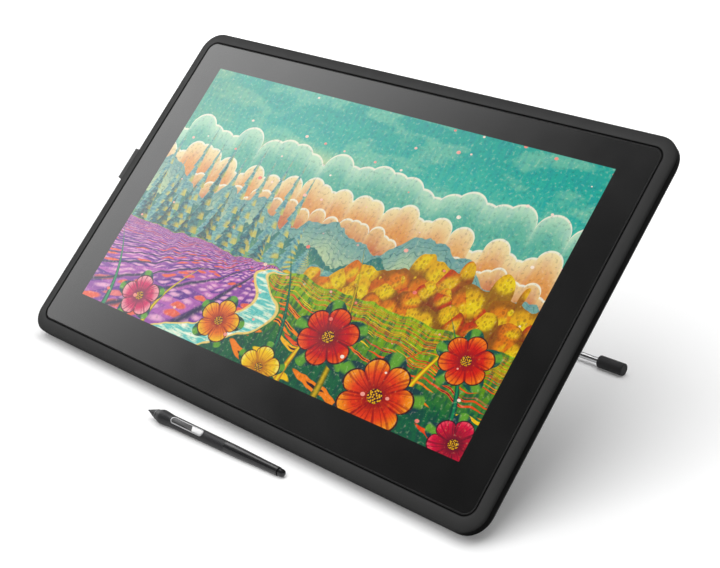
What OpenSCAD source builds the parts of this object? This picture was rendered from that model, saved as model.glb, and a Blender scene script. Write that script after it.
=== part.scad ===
// Pen display on a folding stand, with its pen lying in front of it.
// The casing's pieces are drawn in the screen's own frame: x to the right, y up the
// screen and z out of the glass, with zero at the middle of the glass front.
// The stand and the pen have frames of their own, set out under Hidden.

/* [Casing] */
// Width of the casing
body_w = 570; // [550:1:600]
// Height of the casing, measured up the screen
body_h = 359; // [350:1:380]
// Radius of the casing's outer corners
corner_r = 21; // [20.5:0.5:24]
// Depth of the upright side before the back starts to curve
edge_t = 10; // [8:0.5:12]
// Depth from the glass to the flat of the back
back_t = 28; // [26:0.5:32]
// Depth from the glass to the raised middle of the back
body_t = 40; // [38:0.5:46]
// Distance over which the back curves in from the edge
taper = 80; // [60:1:90]
// Wall of the rear cover
wall = 2.4; // [1.6:0.1:3]
// Tilt of the screen from the table, in degrees
tilt = 45; // [18:1:80]

/* [Bezel and glass] */
// Rim beside the glass
rim_side = 11.5; // [10:0.1:13]
// Rim above the glass
rim_top = 12.2; // [10:0.1:13.5]
// Rim below the glass
rim_bottom = 13.2; // [11:0.1:13.5]
// Corner radius of the glass
glass_r = 10; // [4:0.5:14]
// Thickness of the glass
glass_t = 1.8; // [1:0.1:2.5]
// Open line between the glass and the rim
glass_gap = 0.9; // [0.2:0.1:1]
// Fall of the rim from the glass to its outer edge
crown_drop = 0.7; // [0.2:0.1:1]
// Rounding of the rim's outer edge
rim_edge_r = 2; // [0.8:0.1:2]
// Depth of the line where the bezel meets the rear cover
part_z = 4; // [2.9:0.1:4]
// Thickness of the shelf that carries the glass
shelf_t = 2.2; // [1.5:0.1:3]

/* [Screen stack] */
// Black border beside the picture
border_side = 33; // [28:0.5:45]
// Black border above the picture
border_top = 27; // [23:0.5:40]
// Black border below the picture
border_bottom = 36; // [28:0.5:50]
// Dark border of the panel around the picture
panel_border = 8; // [5:0.5:9]
// Black film behind the glass
film_t = 0.2; // [0.1:0.05:0.4]
// Foam gasket between film and panel
gasket_t = 0.6; // [0.4:0.1:1]
// Liquid crystal panel
lcd_t = 2; // [1.2:0.1:2.4]
// Diffuser sheets
diffuser_t = 0.8; // [0.4:0.1:1.2]
// Light guide
guide_t = 2.6; // [2:0.1:3.5]
// Reflector sheet
reflector_t = 0.3; // [0.2:0.1:0.6]
// Sheet of the panel tray
tray_t = 1; // [0.6:0.1:1.2]
// Pen sensor board
sensor_t = 1; // [0.6:0.1:1.6]
// Shield plate
shield_t = 0.6; // [0.3:0.1:1]
// Chassis plate
chassis_t = 2; // [1.2:0.1:2.5]

/* [Back of the casing] */
// Width of the raised middle
hump_w = 300; // [292:1:340]
// Height of the raised middle
hump_h = 160; // [150:1:180]
// Corner radius of the raised middle
hump_r = 14; // [8:1:20]
// Spacing of the four threaded holes for a wall arm
vesa_pitch = 100; // [100:1:104]
// Radius of those threaded holes
vesa_hole_r = 2; // [1.6:0.1:2.5]
// Depth of those threaded holes
vesa_depth = 14; // [8:1:18]
// Radius of the chassis posts that reach the back
post_r = 5; // [4:0.1:6]
// Radius of the round rubber foot bars
foot_r = 6; // [5:0.1:6.5]
// Length of a foot bar
foot_len = 90; // [50:1:110]
// Middle of a foot bar, in from the casing's side
foot_in = 95; // [80:1:120]
// Foot bar's middle, in from the casing's lower edge
foot_inset = 6.6; // [6:0.1:7.5]
// Foot bar's middle, back from the glass
foot_depth = 15; // [14.5:0.1:16]
// Width of one ventilation slot
vent_w = 2.4; // [1.5:0.1:3]
// Length of one ventilation slot
vent_len = 16; // [8:1:18]
// Slots in each of the two groups
vent_count = 14; // [4:1:16]

/* [Pen loop] */
// Width of the elastic band
loop_w = 35; // [25:1:45]
// Height of the band's middle above the casing's middle
loop_y = 14.3; // [-40:0.1:60]
// Reach of the loop beyond the casing
loop_out = 11.4; // [6:0.1:14]
// Thickness of the band
loop_t = 1.2; // [0.8:0.1:1.4]
// Gap inside the flattened loop
loop_gap = 3.4; // [2:0.1:3.6]
// Radius of the bar that holds the band inside the casing
loop_bar_r = 2.6; // [2.2:0.1:2.7]

/* [Power button] */
// Middle of the button, in from the casing's right side
button_in = 60; // [45:1:135]
// Length of the button
button_w = 15; // [8:0.5:20]
// Height of the button
button_t = 3.2; // [2:0.1:3.4]
// Height that the button stands out
button_out = 0.8; // [0.4:0.1:1.5]
// Travel of the button
button_travel = 0.6; // [0.3:0.1:0.8]

/* [Stand] */
// Distance from the hinge to the foot rod
arm_len = 187.5; // [182:0.5:200]
// Depth of the hinge behind the glass
pivot_depth = 56; // [55.5:0.5:58]
// Radius of the arm's barrel
barrel_r = 11; // [10:0.1:11.4]
// Bore of the barrel
barrel_bore_r = 7.6; // [7:0.1:8.4]
// Width of the barrel
barrel_w = 76; // [70:1:90]
// Width of the arm at the rod
arm_tip_w = 64; // [50:1:70]
// Thickness of the arm at the barrel
arm_root_t = 17; // [13:0.5:18]
// Reach of the arm above the rod's middle
arm_tip_top = 7; // [5.5:0.5:8]
// Reach of the arm below the rod's middle
arm_tip_low = 4.5; // [3:0.1:5]
// Skin and rib thickness of the arm
arm_wall = 3; // [2:0.1:4]
// Radius of the hinge shaft
shaft_r = 4.5; // [4:0.1:4.8]
// Cheek thickness of the bracket
cheek_t = 7; // [4:0.1:7.5]
// Width of the bracket's base plate
plate_w = 126; // [120:1:132]
// Height of the bracket's base plate
plate_h = 66; // [60:1:72]
// Thickness of the bracket's base plate
plate_t = 4; // [3:0.1:4]
// Radius of the foot rod
rod_r = 3; // [2.5:0.1:4]
// Length over both rubber sleeves
rod_span = 400; // [340:1:460]
// Radius of a rubber sleeve
sleeve_r = 6.1; // [5.6:0.1:7]
// Length of a rubber sleeve
sleeve_len = 28; // [20:1:40]
// Reach of the release lever from its pin to its tip
lever_len = 33; // [26:1:36]
// Width of the release lever
lever_w = 72; // [50:1:74]
// Lean of the release lever away from the back, in degrees
lever_lean = 6; // [0:1:8]
// Radius of the lever's pin
lever_pin_r = 2; // [1.5:0.1:2.4]

/* [Pen] */
// Length of the pen
pen_len = 165; // [155:1:175]
// Radius where the grip flares widest
flare_r = 6.5; // [6:0.1:7.5]
// Radius of the grip behind the flare
grip_r = 5.5; // [5.2:0.1:6]
// Radius of the rear barrel where it meets the grip
barrel_front_r = 5.1; // [4.8:0.1:5.1]
// Radius of the rear barrel at the eraser
barrel_rear_r = 3.9; // [3.7:0.1:4.4]
// Radius of the nib
nib_r = 0.75; // [0.6:0.05:0.9]
// Travel of the nib
nib_travel = 0.5; // [0.3:0.1:0.6]
// Travel of the eraser
eraser_travel = 0.8; // [0.4:0.1:0.9]
// Pen tip, left of the casing's middle
pen_tip_x = -61.7; // [-100:0.1:0]
// Pen tip, in front of the line where the casing stands
pen_gap = 44.5; // [30:0.1:80]
// Turn of the pen on the table, in degrees
pen_yaw = 3.1; // [-10:0.1:10]
// Roll of the side switch towards the front, in degrees
pen_roll = 34; // [0:1:60]

/* [Hidden] */
$fn = 48;

// Small overlap of joined solids, reach of a cut past its piece, and the clearances of
// running pins, loose fits, open lines and stops
eps = 0.01;
cut = 1;
fit = 0.05;
slip = 0.25;
edge_gap = 0.2;
stop_gap = 0.3;

// Glass and screen stack, from the front backwards
glass_w = body_w - 2 * rim_side;
glass_h = body_h - rim_top - rim_bottom;
glass_y = (rim_bottom - rim_top) / 2;
view_w = glass_w - 2 * border_side;
view_h = glass_h - border_top - border_bottom;
view_y = glass_y + (border_bottom - border_top) / 2;
shelf_z = -glass_t - film_t;
panel_z = shelf_z - gasket_t;
panel_w = view_w + 2 * panel_border;
panel_h = view_h + 2 * panel_border;
panel_fit = 0.2;
diffuser_z = panel_z - lcd_t;
guide_z = diffuser_z - diffuser_t;
reflector_z = guide_z - guide_t;
tray_z = reflector_z - reflector_t;
sensor_z = tray_z - tray_t;
shield_z = sensor_z - sensor_t;
chassis_z = shield_z - shield_t;
chassis_back = chassis_z - chassis_t;
sensor_margin = 4;
led_t = 1.2;

// Bezel section, measured in from the casing's edge
shelf_in = 20;
lip_in = [2.6, 4.4];
lip_z = 6.8;
rib_in = [14, 16.5];
chassis_in = 13;
crown_in = 9;
film_inset = 0.4;

// Loop bar inside the casing's edge and under the bezel, and the room that the bezel leaves for it
loop_z = part_z + edge_gap + loop_bar_r + loop_t;
loop_bar_in = lip_in[1] + loop_bar_r + loop_t + fit;
loop_room_in = loop_bar_in + loop_bar_r + loop_t + slip;

// Rear cover
arc_steps = 9;
corner_steps = 8;
cover_z = part_z + edge_gap;
corner_growth = 0.5;
hump_root = 4;
hump_round = [[2.5, 0], [0.7, 3], [0, 7]];
boss_r = 6;
cover_screw_r = 1.5;
cover_screw_head_r = 3.6;
cover_screw_head_t = 2.4;
cover_screw_seat = 8;
cover_screw_side = [40, 60];
cover_screw_end = [165, 34.5];
cover_screw_at = [
    for (sx = [-1, 1], sy = [-1, 1]) each [
        [sx * (body_w / 2 - cover_screw_side[0]), sy * cover_screw_side[1]],
        [sx * (body_w / 2 - cover_screw_end[0]), sy * (body_h / 2 - cover_screw_end[1])]
    ]
];
vent_pitch = 10;
vent_x = 30;
vent_rise = 32;
vent_y = hump_h / 2 + vent_rise;
foot_wall = 2;
foot_at = [0, -body_h / 2 + foot_inset, -foot_depth];
lock_slot = [3, 7];

// Stand bracket screws and the wall-arm holes
bracket_screw_r = 2;
bracket_screw_head_r = 3.5;
bracket_screw_head_t = 2.5;
bracket_screw_len = 16;
bracket_screw_in = 9;
bracket_screw_at = [
    for (sx = [-1, 1], sy = [-1, 1])
        [sx * (plate_w / 2 - bracket_screw_in), sy * (plate_h / 2 - bracket_screw_in)]
];
plate_corner = 8;
vesa_at = [for (sx = [-1, 1], sy = [-1, 1]) [sx, sy] * vesa_pitch / 2];

// Main board behind the chassis, right of the posts, with its sockets at the lower edge
board_z = -28;
board_t = 1.6;
board_gap = 1.2;
board_lo = [plate_w / 2, -hump_h / 2 + wall + board_gap];
board_top = 10;
board_hi = [hump_w / 2 - wall - board_gap, hump_h / 2 - board_top];
board_post_r = 3;
board_screw_r = 1.2;
board_screw_head_t = 1.6;
board_screw_grip = 5;
board_hole_depth = 8;
board_screw_in = 6;
board_screw_low = 24;
board_at = [
    for (x = [board_lo[0] + board_screw_in, board_hi[0] - board_screw_in],
         y = [board_lo[1] + board_screw_low, board_hi[1] - board_screw_in]) [x, y]
];
chips = [[[0.25, 0.5], [24, 24, 2.5]], [[0.65, 0.6], [12, 16, 1.5]], [[0.2, 0.3], [9, 9, 4]]];
socket_depth = 13;
socket_back = board_z - board_t;
socket_step = [68.4, 45.4, 21.4];
power_at = board_hi[0] - socket_step[0];
usb_at = board_hi[0] - socket_step[1];
hdmi_at = board_hi[0] - socket_step[2];
hdmi_size = [15, 5.6];
usb_size = [9, 3.4];
power_size = [9, 7];
socket_tongue = 1.2;
socket_floor = 2;
power_bore_r = 2.8;
power_pin_r = 0.9;
socket_skin = 0.5;
panel_board_size = [220, 24];
panel_board_y = -118;
panel_board_t = 1.6;
cable_w = 30;
cable_t = 0.3;
cable_lap = [8, 2];
cable_run = [14, 24];

// Power button in the top edge, with its switch on a small board at the chassis
button_x = body_w / 2 - button_in;
button_z = -edge_t;
button_y = body_h / 2;
stem_w = 6;
switch_board_w = 34;
switch_board_t = 1.2;
switch_board_y = body_h / 2 - chassis_in;
tact_h = 4;
tact_w = 6;
tact_d = 4;
tact_top = switch_board_y + switch_board_t + tact_h;
pipe_r = 0.9;
pipe_dx = 13;

// Stand: the hinge in the screen's frame, and the arm's angle that puts the rod on the table
pivot = [0, 0, -pivot_depth];
washer_t = 0.8;
washer_gap = 0.1;
cheek_in = barrel_w / 2 + washer_t + 2 * washer_gap;
bracket_span = 2 * (cheek_in + cheek_t);
cheek_r = 10.5;
ear_rim = 1;
ear_fn = 32;
clip_t = 1.2;
clip_r = 7;
clip_mouth = 0.8;
groove_depth = 0.6;
groove_r = shaft_r - groove_depth;
shaft_end = 3;
bush_len = 6;
boss_clear = 0.5;
rod_boss_r = sleeve_r - boss_clear;
rod_screw_r = 2;
rod_screw_in = 12;
rod_screw_back = 2.3;
rod_screw_x = arm_tip_w / 2 - rod_screw_in;
arm_pocket_rows = 3;
sleeve_cap = 3;
sleeve_round = 1.2;
lever_at = [0, 24, -49];
lever_t = 5;
lever_knuckle_r = 4.6;
lever_tip_r = 3;
lever_gap_w = 16;
coil_sides = 6;
coil_rings = 8;
clutch_wire_r = 0.9;
clutch_turns = 7;
clutch_pitch = 2.3;
clutch_x = 10;
lever_wire_r = 0.5;
lever_turns = 6;
lever_coil_pitch = 1.7;
coil_clear = 0.3;
clutch_coil_r = (shaft_r + coil_clear) / cos(180 / coil_rings) + clutch_wire_r;
lever_coil_r = (lever_pin_r + coil_clear) / cos(180 / coil_rings) + lever_wire_r;

foot_drop = foot_r - foot_at[1] * sin(tilt) - foot_at[2] * cos(tilt);
foot_line = foot_at[1] * cos(tilt) - foot_at[2] * sin(tilt);
pivot_back = pivot[1] * cos(tilt) - pivot[2] * sin(tilt);
pivot_up = pivot[1] * sin(tilt) + pivot[2] * cos(tilt) + foot_drop;
arm_fall = asin((pivot_up - sleeve_r) / arm_len);
stand_angle = tilt + arm_fall;
rod_back = pivot_back + arm_len * cos(arm_fall);

// Pen: stations along its length, from the tip
nose_x = 2.4;
collar_x = 11.6;
collar_len = 0.9;
grip_x = collar_x + collar_len;
flare_x = 19;
neck_x = 33;
grip_end = 98;
eraser_len = 6.5;
eraser_x = pen_len - eraser_len;
eraser_step = 0.4;
eraser_r = barrel_rear_r - eraser_step;
eraser_start = eraser_x + eraser_travel + edge_gap;
eraser_dome = 3;
eraser_plug = 4;
nose_tip_r = 1.25;
nose_end_r = 4.55;
collar_r = 4.75;
grip_front_r = 4.8;
grip_bore_r = 3.6;
core_fit = 0.1;
core_r = grip_bore_r - core_fit;
core_rear_r = 2.5;
core_step = 102;
core_flat = 1.4;
core_x = 32;
core_short = 6;
core_end = eraser_x - core_short;
coil_x = 15;
coil_len = 13;
coil_r = 3.3;
coil_bore_r = 1.1;
nib_end = 28.5;
nib_point = [0.2, 0.55];
sensor_x = nib_end + nib_travel + stop_gap;
sensor_len = core_x - sensor_x;
rocker_x = [34, 71];
rocker_mid = 53;
rocker_w = 4.4;
rocker_proud = 0.5;
trim_w = 1;
trim_t = 0.9;
trim_proud = 0.3;
rocker_bottom = 4.2;
rocker_pin_r = 0.6;
rocker_pin_z = 3.8;
rocker_pin_w = 5.8;
rocker_knuckle_r = 1.1;
rocker_valley = 58.5;
rocker_dip = 0.1;
rocker_slope = 3;
profile_steps = 6;
board_room = 1;
pen_board_size = [60, 3.6, 0.8];
pen_tilt = asin((flare_r - barrel_rear_r) / (eraser_x - flare_x));

// Radii along a piece, eased between its stations so that each station is level
function eased(a, b, t) = a + (b - a) * t * t * (3 - 2 * t);
function stations(list) = concat(
    [for (k = [0:len(list) - 2], i = [0:profile_steps - 1]) let (t = i / profile_steps)
        [list[k][0] + (list[k + 1][0] - list[k][0]) * t, eased(list[k][1], list[k + 1][1], t)]],
    [list[len(list) - 1]]
);

grip_line = stations([
    [grip_x, grip_front_r], [flare_x, flare_r], [neck_x, grip_r], [grip_end, barrel_front_r]
]);
barrel_line = stations([[grip_end, barrel_front_r], [eraser_x, barrel_rear_r]]);
eraser_line = concat(
    [[eraser_start, eraser_r]],
    [for (i = [0:profile_steps]) let (a = 90 * i / profile_steps)
        [pen_len - eraser_dome + eraser_dome * sin(a), (eraser_r - edge_gap) * cos(a)]]
);

// Place of everything on the table: zero under the middle of the whole object
x_shift = loop_out / 2;
pen_front = foot_line - pen_gap + flare_x * sin(pen_yaw) - flare_r;
y_shift = -(pen_front + rod_back + sleeve_r) / 2;

module in_screen() {
    translate([x_shift, y_shift, foot_drop]) rotate([tilt, 0, 0]) children();
}

// Arm frame: x along the shaft, y out along the arm, z on its upper side
module in_arm() {
    in_screen() translate(pivot) rotate([-stand_angle, 0, 0]) children();
}

// Pen frame: x from the tip to the eraser, z out through the side switch
module in_pen() {
    translate([x_shift + pen_tip_x, y_shift + foot_line - pen_gap, flare_r])
        rotate([0, pen_tilt, pen_yaw]) translate([0, 0, flare_x * sin(pen_tilt)])
        rotate([pen_roll, 0, 0]) children();
}

module rounded_rect(w, h, r) {
    square([w - 2 * r, h], center = true);
    square([w, h - 2 * r], center = true);
    for (sx = [-1, 1], sy = [-1, 1]) translate([sx * (w / 2 - r), sy * (h / 2 - r)]) circle(r);
}

// Slab of a 2D outline between two depths behind the glass
module slab(front, back) {
    translate([0, 0, back]) linear_extrude(front - back) children();
}

// Section swept round a rounded rectangle; the section's x is measured out from the corner centres
module frame_sweep(w, h, r) {
    for (i = [0:3]) {
        side = i % 2 == 0 ? w : h;
        reach = (i % 2 == 0 ? h : w) / 2 - r;
        rotate(i * 90) {
            translate([-(side / 2 - r), reach, 0]) rotate([90, 0, 90])
                linear_extrude(side - 2 * r) children();
            translate([side / 2 - r, reach, 0]) rotate_extrude(angle = 90) children();
        }
    }
}

function ring(w, h, r, z) = [
    for (c = [0:3]) for (i = [0:corner_steps])
        let (a = 90 * (c + i / corner_steps),
             sx = (c == 0 || c == 3) ? 1 : -1,
             sy = c < 2 ? 1 : -1)
        [sx * (w / 2 - r) + r * cos(a), sy * (h / 2 - r) + r * sin(a), z]
];

// Closed skin over rings of points, listed from the front backwards
module loft(rings) {
    n = len(rings[0]);
    last = (len(rings) - 1) * n;
    polyhedron(
        points = [for (r = rings) each r],
        faces = concat(
            [[for (i = [n - 1:-1:0]) i]],
            [for (k = [0:len(rings) - 2], i = [0:n - 1])
                let (j = (i + 1) % n, a = k * n, b = a + n)
                each [[a + i, a + j, b + j], [a + i, b + j, b + i]]],
            [[for (i = [0:n - 1]) last + i]]
        )
    );
}

// Spring of round wire wound along x, and the least gap between its turns
function coil_point(r, pitch, k) =
    [pitch * k / coil_rings, r * cos(360 * k / coil_rings), r * sin(360 * k / coil_rings)];
function coil_gap(r, wire_r, turns, pitch) = min([
    for (k = [0:(turns - 1) * coil_rings - 1], d = [-1:1])
        norm(coil_point(r, pitch, k) - coil_point(r, pitch, k + coil_rings + d))
]) - 2 * wire_r;

module coil(r, wire_r, turns, pitch) {
    count = turns * coil_rings;
    points = [
        for (k = [0:count]) let (a = 360 * k / coil_rings, x = pitch * k / coil_rings)
            for (s = [0:coil_sides - 1]) let (b = 360 * s / coil_sides, q = r + wire_r * cos(b))
                [x + wire_r * sin(b), q * cos(a), q * sin(a)]
    ];
    polyhedron(
        points = points,
        faces = concat(
            [[for (s = [0:coil_sides - 1]) s]],
            [for (k = [0:count - 1], s = [0:coil_sides - 1])
                let (t = (s + 1) % coil_sides, a = k * coil_sides, b = a + coil_sides)
                each [[a + s, b + t, a + t], [a + s, b + s, b + t]]],
            [[for (s = [coil_sides - 1:-1:0]) count * coil_sides + s]]
        )
    );
}

// Bezel and glass

module bezel_section() {
    polygon([
        [corner_r - shelf_in, 0], [corner_r - crown_in, 0],
        [corner_r - rim_edge_r, -crown_drop], [corner_r, -crown_drop - rim_edge_r],
        [corner_r, -part_z], [corner_r - lip_in[0], -part_z],
        [corner_r - lip_in[0], -lip_z], [corner_r - lip_in[1], -lip_z],
        [corner_r - lip_in[1], -part_z], [corner_r - rib_in[0], shelf_z - shelf_t],
        [corner_r - rib_in[0], chassis_z], [corner_r - rib_in[1], chassis_z],
        [corner_r - rib_in[1], shelf_z - shelf_t], [corner_r - shelf_in, shelf_z - shelf_t]
    ]);
    translate([corner_r - rim_edge_r, -crown_drop - rim_edge_r]) intersection() {
        circle(rim_edge_r);
        square(rim_edge_r);
    }
}

module front_bezel() {
    color("dimgray") in_screen() difference() {
        frame_sweep(body_w, body_h, corner_r) bezel_section();
        translate([0, glass_y, 0]) slab(cut, shelf_z)
            rounded_rect(glass_w + 2 * glass_gap, glass_h + 2 * glass_gap, glass_r + glass_gap);
        translate([-body_w / 2 + lip_in[0] - eps, loop_y - loop_w / 2 - slip, -lip_z - eps])
            cube([loop_room_in - lip_in[0], loop_w + 2 * slip, lip_z - part_z + eps]);
    }
}

module cover_glass() {
    color("black", 0.5) in_screen() translate([0, glass_y, 0])
        slab(0, -glass_t) rounded_rect(glass_w, glass_h, glass_r);
}

module border_film() {
    color("black") in_screen() slab(-glass_t, shelf_z) difference() {
        translate([0, glass_y])
            rounded_rect(glass_w - 2 * film_inset, glass_h - 2 * film_inset, glass_r - film_inset);
        translate([0, view_y]) square([view_w, view_h], center = true);
    }
}

// Screen stack

module panel_slab(front, back, grow = 0) {
    translate([0, view_y, 0]) slab(front, back)
        square([panel_w + 2 * grow, panel_h + 2 * grow], center = true);
}

module panel_gasket() {
    color("darkslategray") in_screen() difference() {
        panel_slab(shelf_z, panel_z);
        translate([0, view_y, 0]) slab(shelf_z + cut, panel_z - cut)
            square([view_w + panel_border, view_h + panel_border], center = true);
    }
}

module lcd_panel() {
    color("darkcyan") in_screen() panel_slab(panel_z, diffuser_z);
}

module diffuser_sheet() {
    color("whitesmoke") in_screen() panel_slab(diffuser_z, guide_z);
}

module light_guide() {
    color("aliceblue") in_screen() difference() {
        panel_slab(guide_z, reflector_z);
        translate([0, view_y - panel_h / 2, 0]) slab(guide_z + cut, reflector_z - cut)
            square([panel_w + 2 * cut, 2 * led_t], center = true);
    }
}

module led_strip() {
    color("ivory") in_screen() translate([0, view_y - panel_h / 2, 0]) slab(guide_z, reflector_z)
        translate([-panel_w / 2, 0]) square([panel_w, led_t]);
}

module reflector_sheet() {
    color("white") in_screen() panel_slab(reflector_z, tray_z);
}

module panel_tray() {
    color("silver") in_screen() difference() {
        panel_slab(panel_z, sensor_z, panel_fit + tray_t);
        panel_slab(panel_z + cut, tray_z, panel_fit);
    }
}

module sensor_board() {
    color("darkgreen") in_screen() panel_slab(sensor_z, shield_z, sensor_margin);
}

module shield_plate() {
    color("gainsboro") in_screen() panel_slab(shield_z, chassis_z, sensor_margin);
}

// Chassis and electronics

module post_with_hole(at, r, hole_r, tip, depth) {
    translate([at[0], at[1], tip]) difference() {
        cylinder(r = r, h = chassis_back - tip + eps);
        translate([0, 0, -cut]) cylinder(r = hole_r, h = depth + cut);
    }
}

module chassis() {
    color("lightsteelblue") in_screen() {
        difference() {
            slab(chassis_z, chassis_back)
                rounded_rect(body_w - 2 * chassis_in, body_h - 2 * chassis_in, corner_r - chassis_in);
            for (at = cover_screw_at) translate([at[0], at[1], chassis_back - cut])
                cylinder(r = cover_screw_r, h = chassis_t + 2 * cut);
            foot_bar(foot_r + foot_wall + slip, foot_len + 2 * (foot_wall + slip));
        }
        for (at = vesa_at) post_with_hole(at, post_r, vesa_hole_r, -body_t, vesa_depth);
        for (at = bracket_screw_at) post_with_hole(at, post_r, bracket_screw_r, -body_t, vesa_depth);
        for (at = board_at) post_with_hole(at, board_post_r, board_screw_r, board_z, board_hole_depth);
    }
}

module panel_board() {
    color("green") in_screen() translate([0, panel_board_y, 0])
        slab(chassis_back, chassis_back - panel_board_t) square(panel_board_size, center = true);
}

// Ribbon from the back of the panel board to the face of the main board
module panel_cable() {
    low = panel_board_y + panel_board_size[1] / 2;
    face = chassis_back - panel_board_t;
    rise = [board_lo[1] + cable_run[0], board_lo[1] + cable_run[1]];
    color("goldenrod") in_screen() translate([(board_lo[0] + board_hi[0]) / 2 - cable_w / 2, 0, 0])
        rotate([90, 0, 90]) linear_extrude(cable_w) polygon([
            [low - cable_lap[0], face], [low + cable_lap[1], face],
            [rise[0], board_z + cable_t], [rise[1], board_z + cable_t],
            [rise[1], board_z], [rise[0], board_z],
            [low + cable_lap[1], face - cable_t], [low - cable_lap[0], face - cable_t]
        ]);
}

module main_board() {
    size = board_hi - board_lo;
    inset = wall + board_gap;
    color("seagreen") in_screen() difference() {
        union() {
            slab(board_z, board_z - board_t) intersection() {
                rounded_rect(hump_w - 2 * inset, hump_h - 2 * inset, hump_r - inset);
                translate(board_lo) square(size);
            }
            for (chip = chips) translate([board_lo[0], board_lo[1], board_z - eps])
                translate([size[0] * chip[0][0], size[1] * chip[0][1], 0]) cube(chip[1]);
        }
        for (at = board_at) translate([at[0], at[1], board_z - board_t - cut])
            cylinder(r = board_screw_r, h = board_t + 2 * cut);
    }
}

module board_screws() {
    color("silver") in_screen() for (at = board_at) translate([at[0], at[1], board_z - board_t]) {
        translate([0, 0, -board_screw_head_t]) cylinder(r = 2 * board_screw_r, h = board_screw_head_t);
        cylinder(r = board_screw_r, h = board_t + board_screw_grip);
    }
}

// Block at the lower wall of the raised middle, mouth downwards, under the main board
module socket_block(x, size, depth, grow = 0) {
    translate([x - size[0] / 2 - grow, -hump_h / 2, socket_back - size[1] - grow])
        cube([size[0] + 2 * grow, depth, size[1] + 2 * grow]);
}

module tongue_socket(x, size) {
    difference() {
        socket_block(x, size, socket_depth);
        translate([0, -cut, 0]) socket_block(x, size, socket_depth - socket_floor + cut, -socket_skin);
    }
    translate([x, -hump_h / 2 + socket_floor, socket_back - (size[1] + socket_tongue) / 2])
        translate([-size[0] / 2 + socket_floor, 0, 0])
        cube([size[0] - 2 * socket_floor, socket_depth - socket_floor, socket_tongue]);
}

module hdmi_socket() {
    color("silver") in_screen() tongue_socket(hdmi_at, hdmi_size);
}

module usb_socket() {
    color("silver") in_screen() tongue_socket(usb_at, usb_size);
}

module power_socket() {
    middle = [power_at, -hump_h / 2, socket_back - power_size[1] / 2];
    color("black") in_screen() {
        difference() {
            socket_block(power_at, power_size, socket_depth);
            translate(middle + [0, -cut, 0]) rotate([-90, 0, 0])
                cylinder(r = power_bore_r, h = socket_depth - socket_floor + cut);
        }
        translate(middle + [0, socket_floor, 0]) rotate([-90, 0, 0])
            cylinder(r = power_pin_r, h = socket_depth - socket_floor);
    }
}

// Rear cover

// Depth of the cover's curved back at a distance in from the edge, for a skin under its surface
function cover_depth(inset, skin) =
    edge_t + (back_t - skin - edge_t) * sqrt(1 - pow(1 - (inset - skin) / (taper - skin), 2));

function cover_rings(skin, front) = concat(
    [ring(body_w - 2 * skin, body_h - 2 * skin, corner_r - skin, front)],
    [for (k = [0:arc_steps])
        let (a = 90 * k / arc_steps, inset = skin + (taper - skin) * (1 - cos(a)))
        ring(body_w - 2 * inset, body_h - 2 * inset, corner_r - skin + (inset - skin) * corner_growth,
             -edge_t - (back_t - skin - edge_t) * sin(a))]
);

module hump() {
    loft(concat(
        [ring(hump_w, hump_h, hump_r, hump_root - back_t)],
        [for (step = hump_round)
            ring(hump_w - step[1], hump_h - step[1], hump_r, step[0] - body_t)]
    ));
}

module foot_bar(r, len) {
    for (s = [-1, 1]) translate([s * (body_w / 2 - foot_in), foot_at[1], foot_at[2]]) rotate([0, 90, 0])
        cylinder(r = r, h = len, center = true);
}

module vent_slots() {
    for (s = [-1, 1], i = [0:vent_count - 1]) translate([s * (vent_x + i * vent_pitch), vent_y, 0])
        slab(chassis_back - cut, -back_t - cut) rounded_rect(vent_w, vent_len, vent_w / 2 - eps);
}

module rear_cover() {
    color([0.07, 0.07, 0.08]) in_screen() difference() {
        union() {
            difference() {
                union() {
                    loft(cover_rings(0, -cover_z));
                    hump();
                }
                loft(cover_rings(wall, 0));
                slab(wall + cut - back_t, wall - body_t)
                    rounded_rect(hump_w - 2 * wall, hump_h - 2 * wall, hump_r - wall);
            }
            intersection() {
                loft(cover_rings(0, -cover_z));
                foot_bar(foot_r + foot_wall, foot_len + 2 * foot_wall);
            }
            for (at = cover_screw_at) {
                inset = min(body_w / 2 - abs(at[0]), body_h / 2 - abs(at[1]));
                translate([at[0], at[1], -cover_depth(inset, wall / 2)])
                    cylinder(r = boss_r, h = cover_depth(inset, wall / 2) + chassis_back);
            }
        }
        foot_bar(foot_r, foot_len);
        for (at = cover_screw_at) translate([at[0], at[1], -back_t]) {
            cylinder(r = cover_screw_r + slip, h = back_t);
            cylinder(r = cover_screw_head_r + slip, h = back_t + chassis_back - cover_screw_seat);
        }
        for (at = concat(vesa_at, bracket_screw_at)) translate([at[0], at[1], -body_t - cut])
            cylinder(r = post_r + slip, h = wall + 2 * cut);
        vent_slots();
        for (s = [[hdmi_at, hdmi_size], [usb_at, usb_size], [power_at, power_size]])
            translate([0, -cut, 0]) socket_block(s[0], s[1], wall + 2 * cut, slip);
        translate([-body_w / 2 - cut, loop_y - loop_w / 2 - slip, -loop_z - loop_gap / 2 - loop_t - slip])
            cube([wall + 2 * cut, loop_w + 2 * slip, loop_gap + 2 * loop_t + 2 * slip]);
        translate([button_x - button_w / 2 - slip, button_y - wall - cut, button_z - button_t / 2 - slip])
            cube([button_w + 2 * slip, wall + 2 * cut, button_t + 2 * slip]);
        translate([button_x + pipe_dx, button_y + cut, button_z]) rotate([90, 0, 0])
            cylinder(r = pipe_r + fit, h = wall + 2 * cut);
        translate([-hump_w / 2 - cut, -lock_slot[1] / 2, -(back_t + body_t + lock_slot[0]) / 2])
            cube([wall + 2 * cut, lock_slot[1], lock_slot[0]]);
    }
}

module cover_screws() {
    seat = chassis_back - cover_screw_seat;
    color("black") in_screen() for (at = cover_screw_at) translate([at[0], at[1], seat]) {
        translate([0, 0, -cover_screw_head_t]) cylinder(r = cover_screw_head_r, h = cover_screw_head_t);
        cylinder(r = cover_screw_r, h = chassis_z - seat - stop_gap);
    }
}

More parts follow.
